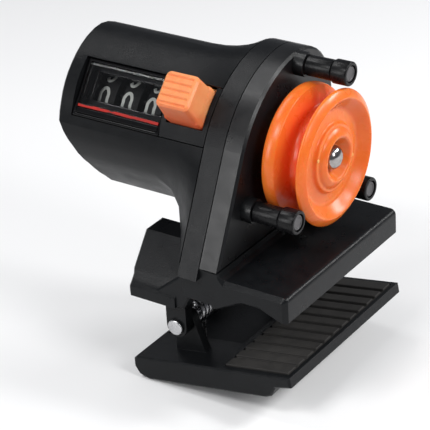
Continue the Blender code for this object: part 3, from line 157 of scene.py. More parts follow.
finishValues = {
    "texturedBlack": {
        "colour": (0.0055, 0.0060, 0.0068), "tint": (0.0085, 0.0092, 0.0102), "rough": 0.36, "roughShift": 0.06,
        "cloudSize": 5.0, "grainSize": 0.36, "grainDepth": 0.085,
        "sockets": {"Specular IOR Level": 0.14},
    },
    "chassisBlack": {
        "colour": (0.0050, 0.0055, 0.0063), "tint": (0.0080, 0.0087, 0.0097), "rough": 0.31, "roughShift": 0.05,
        "cloudSize": 5.0, "grainSize": 0.36, "grainDepth": 0.060,
        "sockets": {"Specular IOR Level": 0.15},
    },
    "barrelBlack": {
        "colour": (0.0050, 0.0055, 0.0063), "tint": (0.0080, 0.0087, 0.0097), "rough": 0.36, "roughShift": 0.05,
        "cloudSize": 5.0, "grainSize": 0.45, "grainDepth": 0.065,
        "sockets": {"Specular IOR Level": 0.10},
    },
    "satinBlack": {
        "colour": (0.0055, 0.0058, 0.0065), "tint": (0.0080, 0.0084, 0.0092), "rough": 0.31, "roughShift": 0.05,
        "cloudSize": 7.0, "grainSize": 0.22, "grainDepth": 0.016,
        "sockets": {"Specular IOR Level": 0.28},
    },
    "postBlack": {
        "colour": (0.0050, 0.0050, 0.0055), "tint": (0.0070, 0.0070, 0.0077), "rough": 0.28, "roughShift": 0.05,
        "cloudSize": 2.4, "grainSize": 0.30, "grainDepth": 0.020,
        "sockets": {"Specular IOR Level": 0.16},
    },
    "polishedBlack": {
        "colour": (0.0040, 0.0040, 0.0045), "tint": (0.0060, 0.0060, 0.0065), "rough": 0.10, "roughShift": 0.03,
        "cloudSize": 6.0, "grainSize": 2.0, "grainDepth": 0.0015,
        "sockets": {"Specular IOR Level": 0.28},
    },
    "maskGrey": {
        "colour": (0.0075, 0.0075, 0.0085), "tint": (0.0100, 0.0100, 0.0110), "rough": 0.22, "roughShift": 0.04,
        "cloudSize": 4.0, "grainSize": 0.6, "grainDepth": 0.006,
    },
    "drumBlack": {
        "colour": (0.0060, 0.0062, 0.0068), "tint": (0.0110, 0.0112, 0.0120), "rough": 0.45, "roughShift": 0.06,
        "cloudSize": 2.0, "grainSize": 0.25, "grainDepth": 0.012,
        "sockets": {"Specular IOR Level": 0.30},
    },
    "digitPaint": {
        "colour": (0.78, 0.81, 0.77), "tint": (0.68, 0.71, 0.67), "rough": 0.5, "roughShift": 0.05,
        "cloudSize": 0.9, "grainSize": 0.3, "grainDepth": 0.006,
    },
    "wheelOrange": {
        "colour": (0.82, 0.185, 0.024), "tint": (0.78, 0.160, 0.020), "rough": 0.27, "roughShift": 0.04,
        "cloudSize": 9.0, "grainSize": 0.9, "grainDepth": 0.007,
        "sockets": {
            "Subsurface Weight": 0.50, "Subsurface Radius": (0.007, 0.0012, 0.0003), "Subsurface Scale": 0.9,
            "Specular IOR Level": 0.34,
        },
    },
    "gateYellow": {
        "colour": (0.90, 0.50, 0.16), "tint": (0.86, 0.42, 0.11), "rough": 0.40, "roughShift": 0.05,
        "cloudSize": 1.0, "grainSize": 0.4, "grainDepth": 0.006,
    },
    "buttonOrange": {
        "colour": (0.84, 0.320, 0.130), "tint": (0.80, 0.270, 0.100), "rough": 0.32, "roughShift": 0.05,
        "cloudSize": 4.0, "grainSize": 0.45, "grainDepth": 0.014,
        "sockets": {
            "Subsurface Weight": 0.35, "Subsurface Radius": (0.005, 0.0012, 0.0005), "Subsurface Scale": 0.8,
            "Specular IOR Level": 0.25,
        },
    },
    "brightSteel": {
        "colour": (0.55, 0.55, 0.56), "tint": (0.46, 0.46, 0.47), "rough": 0.27, "roughShift": 0.07,
        "cloudSize": 2.0, "grainSize": 0.3, "grainDepth": 0.008, "stretch": (1.0, 0.2, 1.0),
        "sockets": {"Metallic": 1.0},
    },
    "domeChrome": {
        "colour": (0.40, 0.39, 0.39), "tint": (0.27, 0.25, 0.24), "rough": 0.16, "roughShift": 0.05,
        "cloudSize": 1.1, "grainSize": 1.3, "grainDepth": 0.045,
        "sockets": {"Metallic": 1.0},
    },
    "pinGrey": {
        "colour": (0.060, 0.057, 0.060), "tint": (0.085, 0.081, 0.085), "rough": 0.38, "roughShift": 0.06,
        "cloudSize": 1.2, "grainSize": 0.25, "grainDepth": 0.012,
        "sockets": {"Metallic": 0.35},
    },
    "bushBrass": {
        "colour": (0.60, 0.42, 0.15), "tint": (0.52, 0.35, 0.12), "rough": 0.30, "roughShift": 0.06,
        "cloudSize": 2.0, "grainSize": 0.3, "grainDepth": 0.006,
        "sockets": {"Metallic": 1.0},
    },
    "gearWhite": {
        "colour": (0.70, 0.70, 0.67), "tint": (0.64, 0.64, 0.60), "rough": 0.45, "roughShift": 0.05,
        "cloudSize": 3.0, "grainSize": 0.3, "grainDepth": 0.008,
    },
    "padRubber": {
        "colour": (0.020, 0.019, 0.018), "tint": (0.030, 0.028, 0.026), "rough": 0.70, "roughShift": 0.06,
        "cloudSize": 4.0, "grainSize": 0.35, "grainDepth": 0.05,
        "sockets": {"Specular IOR Level": 0.35},
    },
}

looks = {name: mouldedLook(name, values) for name, values in finishValues.items()}

paneValues = {
    "colour": (0.006, 0.0065, 0.007), "rough": 0.05,
    "sockets": {"Alpha": 0.16, "IOR": 1.95},
    "smearSize": 6.0, "smearLow": 0.03, "smearHigh": 0.09,
}


def paneLook():
    # A thin clear pane: mostly see-through, with the reflections of polished plastic
    material, shader, coords = startLook("clearPane", paneValues)
    smear = addNoise(material, coords, paneValues["smearSize"], noiseValues["cloudDetail"])
    rough = spread(material, smear, paneValues["smearLow"], paneValues["smearHigh"])
    material.node_tree.links.new(rough, shader.inputs["Roughness"])
    return material


looks["clearPane"] = paneLook()

# The display's own frame has X along the axle, Y up its face and Z out of it
displayPlace = Vector((-59.75, 7.5, 34.0))
displayAngle = 142.7  # degrees round the axle from Y to the way that the display faces
displayTilt = math.radians(displayAngle - 90)


def upDisplay(material, coords):
    # How far up the display's face a point lies
    tree = material.node_tree
    local = tree.nodes.new("ShaderNodeMapping")
    local.vector_type = "TEXTURE"
    local.inputs["Location"].default_value = displayPlace * mm
    local.inputs["Rotation"].default_value = (displayTilt, 0, 0)
    tree.links.new(coords, local.inputs["Vector"])
    parts = tree.nodes.new("ShaderNodeSeparateXYZ")
    tree.links.new(local.outputs["Vector"], parts.inputs["Vector"])
    return parts.outputs["Y"]


redValues = {
    "colour": (0.44, 0.018, 0.012), "tint": (0.34, 0.012, 0.008), "under": (0.010, 0.005, 0.005), "rough": 0.34,
    "cloudSize": 2.0, "wearSize": 1.1, "wearStretch": (0.4, 1.0, 1.0), "grainDepth": 0.02,
    "middle": -5.9, "half": 0.5, "ragged": 5.0, "wearFrom": 1.02, "wearTo": 0.86,
    "sockets": {"Specular IOR Level": 0.35},
}


def redLook():
    # Red paint brushed along a black ledge, with ragged edges where the black shows
    material, shader, coords = startLook("lineRed", redValues)
    cloud = addNoise(material, coords, redValues["cloudSize"], noiseValues["cloudDetail"])
    paint = blendColours(material, spread(material, cloud, 0, 1), redValues["colour"], redValues["tint"])
    wear = addNoise(
        material, coords, redValues["wearSize"], noiseValues["wearDetail"], redValues["wearStretch"]
    )
    tree = material.node_tree
    lowEdge, highEdge = redValues["middle"] - redValues["half"], redValues["middle"] + redValues["half"]
    fromMiddle = spread(material, upDisplay(material, coords), -1, 1, lowEdge * mm, highEdge * mm)
    away = tree.nodes.new("ShaderNodeMath")
    away.operation = "ABSOLUTE"
    tree.links.new(fromMiddle, away.inputs[0])
    edge = tree.nodes.new("ShaderNodeMath")
    edge.operation = "MULTIPLY_ADD"
    edge.inputs[1].default_value = redValues["ragged"]
    tree.links.new(wear, edge.inputs[0])
    tree.links.new(away.outputs["Value"], edge.inputs[2])
    halfWay = redValues["ragged"] / 2
    painted = spread(
        material, edge.outputs["Value"], 0, 1, redValues["wearFrom"] + halfWay, redValues["wearTo"] + halfWay
    )
    mix = tree.nodes.new("ShaderNodeMix")
    mix.data_type = "RGBA"
    mix.inputs["A"].default_value = (*redValues["under"], 1.0)
    tree.links.new(paint, mix.inputs["B"])
    tree.links.new(painted, mix.inputs["Factor"])
    tree.links.new(mix.outputs["Result"], shader.inputs["Base Color"])
    addBump(material, shader, wear, redValues["grainDepth"])
    return material


looks["lineRed"] = redLook()


def coordsOf(material):
    # The Object coordinates that the material already reads
    nodes = material.node_tree.nodes
    return next(node for node in nodes if node.bl_idname == "ShaderNodeTexCoord").outputs["Object"]


def deepenColour(material, amount, colour):
    # Leads the material's colour over to another by amount
    tree = material.node_tree
    shader = tree.nodes["Principled BSDF"]
    plain = shader.inputs["Base Color"].links[0].from_socket
    mix = tree.nodes.new("ShaderNodeMix")
    mix.data_type = "RGBA"
    mix.inputs["B"].default_value = (*colour, 1.0)
    tree.links.new(plain, mix.inputs["A"])
    tree.links.new(amount, mix.inputs["Factor"])
    tree.links.new(mix.outputs["Result"], shader.inputs["Base Color"])


# How far up the display's face the button's painted shade begins, and where it is full
buttonShadeValues = {"from": 0.5, "to": -7.0, "colour": (0.74, 0.055, 0.020)}


def paintButtonShade(material):
    # Painted shade: the button's colour turns redder and darker toward its lower end, where its front face lies
    # in shade
    up = upDisplay(material, coordsOf(material))
    amount = spread(material, up, 0, 1, buttonShadeValues["from"] * mm, buttonShadeValues["to"] * mm)
    deepenColour(material, amount, buttonShadeValues["colour"])


paintButtonShade(looks["buttonOrange"])

# The groove's ends along the axle, the radii that its painted shade deepens between, and those below its root
# where that stops
grooveShadeValues = {
    "start": -15.4, "end": -0.9, "blend": 1.1, "shallow": 22.2, "deep": 17.4, "floor": 15.2, "core": 15.7,
    "colour": (0.76, 0.075, 0.012),
}


def paintGrooveShade(material):
    # Painted shade: the wheel's colour is led to a deeper red down in its groove, where shade falls in the
    # recess
    tree = material.node_tree
    local = tree.nodes.new("ShaderNodeMapping")
    local.inputs["Location"].default_value = -axleCentre * mm
    tree.links.new(coordsOf(material), local.inputs["Vector"])
    parts = tree.nodes.new("ShaderNodeSeparateXYZ")
    tree.links.new(local.outputs["Vector"], parts.inputs["Vector"])
    across = tree.nodes.new("ShaderNodeCombineXYZ")
    tree.links.new(parts.outputs["Y"], across.inputs["Y"])
    tree.links.new(parts.outputs["Z"], across.inputs["Z"])
    out = tree.nodes.new("ShaderNodeVectorMath")
    out.operation = "LENGTH"
    tree.links.new(across.outputs["Vector"], out.inputs[0])
    start, end, blend = grooveShadeValues["start"], grooveShadeValues["end"], grooveShadeValues["blend"]
    shallow, deep = grooveShadeValues["shallow"], grooveShadeValues["deep"]
    amount = spread(material, out.outputs["Value"], 0, 1, shallow * mm, deep * mm)
    for source, low, high in (
        (parts.outputs["X"], start, start + blend), (parts.outputs["X"], end, end - blend),
        (out.outputs["Value"], grooveShadeValues["floor"], grooveShadeValues["core"]),
    ):
        inside = spread(material, source, 0, 1, low * mm, high * mm)
        both = tree.nodes.new("ShaderNodeMath")
        both.operation = "MULTIPLY"
        tree.links.new(amount, both.inputs[0])
        tree.links.new(inside, both.inputs[1])
        amount = both.outputs["Value"]
    deepenColour(material, amount, grooveShadeValues["colour"])


paintGrooveShade(looks["wheelOrange"])
print("materials made:", len(looks))


def addPiece(name, mesh, look, body, slotName, *nodes):
    mesh.materials.clear()
    mesh.materials.append(looks[look])
    piece = bpy.data.objects.new(name, mesh)
    bpy.context.scene.collection.objects.link(piece)
    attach(piece, body)
    if nodes:
        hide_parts(*nodes)
    return piece


edgeValues = {"segments": 2, "sharpAngle": 32}


def smoothMesh(name, shape, sharpAngle=edgeValues["sharpAngle"]):
    mesh = bpy.data.meshes.new(name)
    shape.to_mesh(mesh)
    shape.free()
    mesh.shade_smooth()
    mesh.set_sharp_from_angle(angle=math.radians(sharpAngle))
    return mesh


def roundEdges(piece, width, sharpAngle=edgeValues["sharpAngle"]):
    bevel = piece.modifiers.new("roundEdges", "BEVEL")
    bevel.width = width * mm
    bevel.segments = edgeValues["segments"]
    bevel.limit_method = "ANGLE"
    bevel.angle_limit = math.radians(sharpAngle)
    bevel.miter_outer = "MITER_ARC"
    bevel.use_clamp_overlap = True
    weigh = piece.modifiers.new("evenShade", "WEIGHTED_NORMAL")
    weigh.keep_sharp = True


mergeValues = {"weld": 0.002, "flatAngle": 0.4}


def mergedCopy(node):
    # The solid's loose triangles made one skin, with its flat faces whole
    shape = bmesh.new()
    shape.from_mesh(frame["nodes"][node].data)
    bmesh.ops.remove_doubles(shape, verts=shape.verts, dist=mergeValues["weld"] * mm)
    bmesh.ops.dissolve_limit(
        shape, angle_limit=math.radians(mergeValues["flatAngle"]), verts=shape.verts, edges=shape.edges,
        delimit={"NORMAL"},
    )
    return shape


def bodyOf(node):
    return frame["nodes"][node]["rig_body"]


slotOf = {row["node"]: row["material_slot"] for row in frame["record"]["subparts"]}


def mouldedPiece(node, look, edge):
    # A moulding with the solid's shape and rounded edges
    name = node + "_moulded"
    piece = addPiece(name, smoothMesh(name, mergedCopy(node)), look, bodyOf(node), slotOf[node], node)
    roundEdges(piece, edge)


turnedValues = {"cornerSegments": 4, "weld": 0.001, "sharpAngle": 30}


def profileWire(profile):
    # An outline of points along X and out from it, whose third number is the rounding of that corner.
    # A profile that starts away from the axis is a ring, so its two ends are joined.
    shape = bmesh.new()
    points = [shape.verts.new((x * mm, 0, out * mm)) for x, out, corner in profile]
    for first, second in zip(points, points[1:]):
        shape.edges.new((first, second))
    if profile[0][1] > 0:
        shape.edges.new((points[-1], points[0]))
    for point, (x, out, corner) in zip(points, profile):
        if corner:
            bmesh.ops.bevel(
                shape, geom=[point], offset=corner * mm, affect="VERTICES", profile=0.5, material=-1,
                segments=turnedValues["cornerSegments"],
            )
    return shape


def spinWire(shape, steps):
    bmesh.ops.spin(
        shape, geom=shape.verts[:] + shape.edges[:], cent=(0, 0, 0), axis=(1, 0, 0), angle=fullTurn,
        steps=steps, use_merge=True,
    )
    bmesh.ops.remove_doubles(shape, verts=shape.verts, dist=turnedValues["weld"] * mm)
    bmesh.ops.recalc_face_normals(shape, faces=shape.faces)
    return shape


def turnedPiece(name, profile, centre, look, body, slotName, node, steps):
    shape = spinWire(profileWire(profile), steps)
    bmesh.ops.translate(shape, vec=Vector(centre) * mm, verts=shape.verts)
    addPiece(name, smoothMesh(name, shape, turnedValues["sharpAngle"]), look, body, slotName, node)


# The look of each moulding, and how far its edges are rounded
mouldedEdges = {
    "chassis": ("chassisBlack", 0.80),
    "front_cover": ("satinBlack", 0.90),
    "barrel_housing": ("barrelBlack", 0.30),
    "button_plate": ("barrelBlack", 0.15),
    "display_frame": ("polishedBlack", 0.20),
    "index_line": ("lineRed", 0.12),
    "index_band": ("polishedBlack", 0.12),
    "reset_button": ("buttonOrange", 0.30),
    "clamp_jaw": ("texturedBlack", 0.40),
    "jaw_pad": ("padRubber", 0.25),
    "units_wheel": ("drumBlack", 0.15),
    "tens_wheel": ("drumBlack", 0.15),
    "hundreds_wheel": ("drumBlack", 0.15),
}
for node, (look, edge) in mouldedEdges.items():
    mouldedPiece(node, look, edge)
print("mouldings made:", len(mouldedEdges))

# The base's flat ends, the corner that they turn at its right edge, and how far their edges are drawn in
baseShape = {
    "ends": ((-33.5, 1), (34.3, -1)), "left": -9.9, "corner": (11.2, 3.9), "floor": -3.4, "chamfer": 0.6,
    "drawIn": 0.8, "shrink": 1 / 3, "marginX": 0.1, "marginZ": 0.2, "near": 0.03,
}


def softenBase():
    # The base's ends are rounded further than the solid's, which shows as a bright line round its top
    cornerX, cornerZ = baseShape["corner"]
    marginX, marginZ, near = baseShape["marginX"], baseShape["marginZ"], baseShape["near"]
    for vert in bpy.data.objects["chassis_moulded"].data.vertices:
        x, y, z = vert.co / mm
        if x < baseShape["left"] or z < baseShape["floor"]:
            continue
        for end, inward in baseShape["ends"]:
            if abs(y - end) < near:
                if x > cornerX - marginX:
                    vert.co.x = (cornerX + (x - cornerX) * baseShape["shrink"]) * mm
                if z > cornerZ - marginZ:
                    vert.co.z = (cornerZ + (z - cornerZ) * baseShape["shrink"]) * mm
            elif abs(y - end - inward * baseShape["chamfer"]) < near:
                if x > cornerX - marginX or z > cornerZ:
                    vert.co.y += inward * baseShape["drawIn"] * mm


softenBase()

# The button's own frame on the barrel, its face's corners, and how far the face reaches beyond the solid's
buttonShape = {
    "angle": 135.5, "shoulder": 27.8, "top": 35.4, "left": -46.5, "right": -35.4, "low": -4.6, "high": 5.6,
    "reachRight": 1.2, "reachDown": 1.6,
}


def fillButtonFace():
    # The ribbed face reaches further down and to the right than the solid's
    middle = Vector((0, axleCentre.y, axleCentre.z)) * mm
    turn = Matrix.Translation(middle) @ Matrix.Rotation(math.radians(buttonShape["angle"] - 90), 4, "X")
    back = turn.inverted()
    for vert in bpy.data.objects["reset_button_moulded"].data.vertices:
        spot = back @ vert.co / mm
        up = (spot.z - buttonShape["shoulder"]) / (buttonShape["top"] - buttonShape["shoulder"])
        if up > 0:
            across = (spot.x - buttonShape["left"]) / (buttonShape["right"] - buttonShape["left"])
            down = (buttonShape["high"] - spot.y) / (buttonShape["high"] - buttonShape["low"])
            spot.x += buttonShape["reachRight"] * up * across
            spot.y -= buttonShape["reachDown"] * up * down
            vert.co = turn @ (spot * mm)


fillButtonFace()


# Along the axle, out from it, and the rounding of that corner
wheelProfile = [
    (-1.6, 2.3, 0), (-1.6, 4.6, 0.5), (1.9, 6.7, 0.5), (2.0, 7.5, 0.45), (1.25, 9.0, 0.5), (0.4, 9.9, 0.3),
    (0.4, 10.9, 0.35), (-0.9, 11.4, 0.5), (-1.5, 15.4, 0.9), (1.2, 18.1, 0.5), (2.15, 19.2, 0.35),
    (1.3, 20.7, 0.5), (0.3, 22.05, 0.5), (-0.4, 21.9, 0.25), (-3.4, 15.8, 0.7), (-6.0, 15.8, 0.7),
    (-8.6, 21.5, 0.25), (-10.5, 22.0, 0.9), (-12.5, 21.75, 0.6), (-13.3, 20.8, 0.4), (-12.6, 18.2, 0.6),
    (-10.2, 14.9, 1.2), (-10.2, 5.6, 0.4), (-14.6, 5.6, 0.2), (-14.6, 2.3, 0),
]
turnedPiece(
    "line_wheel_turned", wheelProfile, axleCentre, "wheelOrange", "wheel", "wheel_orange", "line_wheel",
    steps=144,
)

gateMark = {
    "radius": 0.62, "height": 0.34, "out": 10.5, "x": 0.4, "angles": (-18, 162), "segments": 12, "rings": 8,
    "sharpAngle": 60,
}


def gateMarks():
    # Two small pips that the mould leaves on the hub's ring
    shape = bmesh.new()
    for degrees in gateMark["angles"]:
        angle = math.radians(degrees)
        made = bmesh.ops.create_uvsphere(
            shape, u_segments=gateMark["segments"], v_segments=gateMark["rings"], radius=gateMark["radius"] * mm
        )
        bmesh.ops.scale(shape, vec=(gateMark["height"] / gateMark["radius"], 1, 1), verts=made["verts"])
        spot = Vector((gateMark["x"], gateMark["out"] * math.cos(angle), gateMark["out"] * math.sin(angle)))
        bmesh.ops.translate(shape, vec=(axleCentre + spot) * mm, verts=made["verts"])
    mesh = smoothMesh("gate_marks", shape, gateMark["sharpAngle"])
    addPiece("gate_marks", mesh, "gateYellow", "wheel", "wheel_orange")


gateMarks()

domeValues = {
    "radius": 3.9, "height": 2.8, "rimX": -0.4, "arcSteps": 12, "steps": 64, "sharpAngle": 40,
    "shaft": ((-1.3, 3.9), (-1.3, 2.0), (-19.2, 2.0), (-19.2, 1.0), (-21.9, 1.0), (-21.9, 0)),
}


def axleWithDome():
    # The arc of the dome is spun from its top, and the shaft's steps are added below it
    shape = bmesh.new()
    top = shape.verts.new((1, 0, 0))
    bmesh.ops.spin(
        shape, geom=[top], cent=(0, 0, 0), axis=(0, -1, 0), angle=fullTurn / 4, steps=domeValues["arcSteps"]
    )
    size = Vector((domeValues["height"], 1, domeValues["radius"])) * mm
    bmesh.ops.scale(shape, vec=size, verts=shape.verts)
    bmesh.ops.translate(shape, vec=(domeValues["rimX"] * mm, 0, 0), verts=shape.verts)
    last = max(shape.verts, key=lambda vert: vert.co.z)
    for x, out in domeValues["shaft"]:
        added = shape.verts.new((x * mm, 0, out * mm))
        shape.edges.new((last, added))
        last = added
    spinWire(shape, domeValues["steps"])
    bmesh.ops.translate(shape, vec=axleCentre * mm, verts=shape.verts)
    mesh = smoothMesh("wheel_axle_domed", shape, domeValues["sharpAngle"])
    addPiece("wheel_axle_domed", mesh, "domeChrome", "wheel", "dome_chrome", "wheel_axle")


axleWithDome()
print("wheel and axle made")


postPlaces = {"top": (6.0, 15.543, 59.3549), "front": (6.0, -16.7624, 23.096), "rear": (6.0, 26.0446, 14.9302)}
# Each post is a sleeve that turns on a pin, and a cap that the pin's end shows in
postParts = {
    "roller": {
        "profile": [(-13.0, 1.6, 0), (-13.0, 3.35, 0.25), (-3.9, 3.35, 0.25), (-3.9, 1.6, 0)],
        "look": "postBlack", "slot": "cover_black", "steps": 48,
    },
    "cap": {
        "profile": [
            (-3.6, 1.6, 0), (-3.6, 3.9, 0.45), (2.0, 3.9, 0.5), (2.0, 2.8, 0.15), (0.2, 2.8, 0), (0.2, 1.6, 0),
        ],
        "look": "postBlack", "slot": "cover_black", "steps": 48,
    },
    "pin": {
        "profile": [
            (-18.7, 0, 0), (-18.7, 1.3, 0.2), (0.5, 1.3, 0), (0.5, 2.5, 0.2), (1.7, 2.5, 0.35),
            (1.7, 1.9, 0.15), (1.5, 1.7, 0.1), (1.5, 0, 0),
        ],
        "look": "pinGrey", "slot": "pin_grey", "steps": 40,
    },
}
for post, place in postPlaces.items():
    for part, values in postParts.items():
        body = f"roller_{post}" if part == "roller" else "housing"
        turnedPiece(
            f"{part}_{post}_turned", values["profile"], place, values["look"], body, values["slot"],
            f"guide_{part}_{post}", values["steps"],
        )
print("guide posts made")


displayTurn = Matrix.Translation(displayPlace * mm) @ Matrix.Rotation(displayTilt, 4, "X")
paneShape = {
    "half": 15.8, "low": -5.1, "high": 8.35, "under": 22.8, "face": 24.0, "slope": 0.9, "drop": 0.33,
    "edge": 0.10, "sharpAngle": 20, "cutMargin": 0.001, "near": 0.01,
}


def windowPane():
    # A clear pane with a slope along the top of its face
    shape = bmesh.new()
    bmesh.ops.create_cube(shape, size=1)
    low, high, under, face = paneShape["low"], paneShape["high"], paneShape["under"], paneShape["face"]
    span = Vector((2 * paneShape["half"], high - low, face - under))
    centre = Vector((0, (high + low) / 2, (face + under) / 2))
    bmesh.ops.scale(shape, vec=span * mm, verts=shape.verts)
    bmesh.ops.translate(shape, vec=centre * mm, verts=shape.verts)
    bmesh.ops.bisect_plane(
        shape, geom=shape.verts[:] + shape.edges[:] + shape.faces[:], dist=paneShape["cutMargin"] * mm,
        plane_co=(0, (high - paneShape["slope"]) * mm, 0), plane_no=(0, 1, 0),
    )
    topEdge = Vector((0, high, face)) * mm
    lowered = [vert for vert in shape.verts if (vert.co - topEdge).yz.length < paneShape["near"] * mm]
    bmesh.ops.translate(shape, vec=(0, 0, -paneShape["drop"] * mm), verts=lowered)
    bmesh.ops.transform(shape, matrix=displayTurn, verts=shape.verts)
    mesh = smoothMesh("window_pane", shape, paneShape["sharpAngle"])
    piece = addPiece("window_pane", mesh, "clearPane", "housing", "clear_pane", "window_lens")
    roundEdges(piece, paneShape["edge"], paneShape["sharpAngle"])


windowPane()

maskShape = {
    "half": 15.3, "tall": 7.85, "back": 18.9, "front": 19.9, "left": -14.35, "right": 14.6, "low": -2.75,
    "high": 6.05, "flare": 0.35, "edge": 0.14,
}


def digitMask():
    # The plate behind the pane with the opening that the digits show through
    shape = bmesh.new()
    bmesh.ops.create_cube(shape, size=1)
    middle = (maskShape["back"] + maskShape["front"]) / 2
    span = Vector((2 * maskShape["half"], 2 * maskShape["tall"], maskShape["front"] - maskShape["back"]))
    bmesh.ops.scale(shape, vec=span * mm, verts=shape.verts)
    bmesh.ops.translate(shape, vec=(0, 0, middle * mm), verts=shape.verts)
    sides = [face for face in shape.faces if abs(face.normal.z) > 0.5]  # front and back
    bmesh.ops.inset_individual(shape, faces=sides, thickness=mm)  # any width, the loop places the corners
    for face in sides:
        # The opening flares toward the front
        grow = maskShape["flare"] if face.calc_center_median().z > middle * mm else 0
        for vert in face.verts:
            vert.co.x = (maskShape["right"] + grow if vert.co.x > 0 else maskShape["left"] - grow) * mm
            vert.co.y = (maskShape["high"] + grow if vert.co.y > 0 else maskShape["low"] - grow) * mm
    rims = [edge for face in sides for edge in face.edges]
    bmesh.ops.delete(shape, geom=sides, context="FACES_ONLY")
    bmesh.ops.bridge_loops(shape, edges=rims)
    bmesh.ops.recalc_face_normals(shape, faces=shape.faces)
    bmesh.ops.transform(shape, matrix=displayTurn, verts=shape.verts)
    piece = addPiece("digit_mask", smoothMesh("digit_mask", shape), "maskGrey", "housing", "gloss_black")
    roundEdges(piece, maskShape["edge"])


digitMask()

digitValues = {
    "height": 7.9, "width": 3.95, "stroke": 1.12, "relief": 0.07, "radius": 14.98, "shift": -1.1,
    "firstAngle": 146.1, "spacing": 36.0, "curveSteps": 5, "roundSteps": 2, "weld": 0.001,
}
# The middle line of each numeral as shares of its width and height, and whether it is closed
digitLines = {
    0: [
        (
            "closed", (0, 0.5), (0.47, 0.3), (0.5, 0), (0.47, -0.3), (0, -0.5), (-0.47, -0.3), (-0.5, 0),
            (-0.47, 0.3),
        ),
    ],
    1: [("sharp", (-0.3, 0.28), (0.08, 0.5), (0.08, -0.5))],
    2: [
        (
            "smooth", (-0.48, 0.26), (-0.3, 0.44), (0.05, 0.5), (0.42, 0.36), (0.44, 0.14), (0, -0.2),
            (-0.48, -0.5),
        ),
        ("sharp", (-0.48, -0.5), (0.5, -0.5)),
    ],
    3: [
        ("smooth", (-0.46, 0.34), (0, 0.5), (0.4, 0.36), (0.36, 0.12), (-0.05, 0.04)),
        ("smooth", (-0.05, 0.04), (0.4, -0.06), (0.47, -0.3), (0.05, -0.5), (-0.48, -0.34)),
    ],
    4: [("sharp", (0.22, -0.5), (0.22, 0.5), (-0.5, -0.2), (0.5, -0.2))],
    5: [
        ("sharp", (0.42, 0.5), (-0.34, 0.5), (-0.4, 0.06)),
        ("smooth", (-0.4, 0.06), (0, 0.14), (0.44, 0), (0.44, -0.34), (0, -0.5), (-0.48, -0.36)),
    ],
    6: [
        ("smooth", (0.44, 0.34), (0.1, 0.5), (-0.4, 0.32), (-0.5, -0.1), (-0.42, -0.38), (0, -0.5)),
        ("smooth", (0, -0.5), (0.44, -0.34), (0.44, -0.06), (0, 0.06), (-0.46, -0.08)),
    ],
    7: [("sharp", (-0.48, 0.5), (0.48, 0.5), (-0.12, -0.5))],
    8: [
        ("closed", (0, 0.5), (0.38, 0.38), (0.36, 0.14), (0, 0.04), (-0.36, 0.14), (-0.38, 0.38)),
        ("closed", (0, 0.04), (0.44, -0.08), (0.46, -0.36), (0, -0.5), (-0.46, -0.36), (-0.44, -0.08)),
    ],
}
drumMiddles = {"units": -53.5, "tens": -62.8, "hundreds": -72.1}


def strokeMesh(lines, flip):
    # Round strokes along the numeral's middle lines, which lie in XY and are turned half round if flip is -1
    curve = bpy.data.curves.new("digit", "CURVE")
    curve.dimensions = "3D"
    curve.resolution_u = digitValues["curveSteps"]
    curve.bevel_depth = digitValues["stroke"] / 2
    curve.bevel_resolution = digitValues["roundSteps"]
    curve.use_fill_caps = True
    across = (digitValues["width"] - digitValues["stroke"]) * flip
    tall = (digitValues["height"] - digitValues["stroke"]) * flip
    for kind, *points in lines:
        spline = curve.splines.new("BEZIER")
        spline.bezier_points.add(len(points) - 1)
        spline.use_cyclic_u = kind == "closed"
        for knot, (x, y) in zip(spline.bezier_points, points):
            knot.co = (x * across, y * tall, 0)
            knot.handle_left_type = knot.handle_right_type = "VECTOR" if kind == "sharp" else "AUTO"
    carrier = bpy.data.objects.new("digit", curve)
    bpy.context.scene.collection.objects.link(carrier)
    bpy.context.view_layer.update()
    evaluated = carrier.evaluated_get(bpy.context.evaluated_depsgraph_get())
    mesh = bpy.data.meshes.new_from_object(evaluated)
    bpy.data.objects.remove(carrier)
    bpy.data.curves.remove(curve)
    return mesh


digitMeshes = [strokeMesh(digitLines[number], 1) for number in range(9)]
digitMeshes.append(strokeMesh(digitLines[6], -1))  # a nine is a six turned round


def drumDigits(drum, middleX):
    # The ten numerals, flattened to a low relief and bent round the drum
    joined = bmesh.new()
    flatten = 2 * digitValues["relief"] / digitValues["stroke"]
    for number, mesh in enumerate(digitMeshes):
        shape = bmesh.new()
        shape.from_mesh(mesh)
        bmesh.ops.remove_doubles(shape, verts=shape.verts, dist=digitValues["weld"])
        bmesh.ops.scale(shape, vec=(1, 1, flatten), verts=shape.verts)
        turn = math.radians(digitValues["firstAngle"] + digitValues["spacing"] * number)
        for vert in shape.verts:
            angle = turn - vert.co.y / digitValues["radius"]
            out = digitValues["radius"] + vert.co.z
            vert.co = Vector((
                middleX + digitValues["shift"] + vert.co.x,
                axleCentre.y + out * math.cos(angle),
                axleCentre.z + out * math.sin(angle),
            )) * mm
        bmesh.ops.recalc_face_normals(shape, faces=shape.faces)
        bent = bpy.data.meshes.new("bentDigit")
        shape.to_mesh(bent)
        shape.free()
        joined.from_mesh(bent)
        bpy.data.meshes.remove(bent)
    name = f"digits_{drum}"
    addPiece(name, smoothMesh(name, joined), "digitPaint", drum, "gear_white")


for drum, middleX in drumMiddles.items():
    drumDigits(drum, middleX)
for mesh in digitMeshes:
    bpy.data.meshes.remove(mesh)
print("display made")


hingePlace = Vector((-31.5, 7.5, -18.5))
hingeShape = {
    "profile": [
        (-38.2, 0, 0), (-38.2, 2.7, 0.4), (-37.3, 2.7, 0.1), (-37.3, 1.6, 0), (22.1, 1.6, 0), (22.1, 2.7, 0.1),
        (23.0, 2.7, 0.4), (23.0, 0, 0),
    ],
    "steps": 40,
}


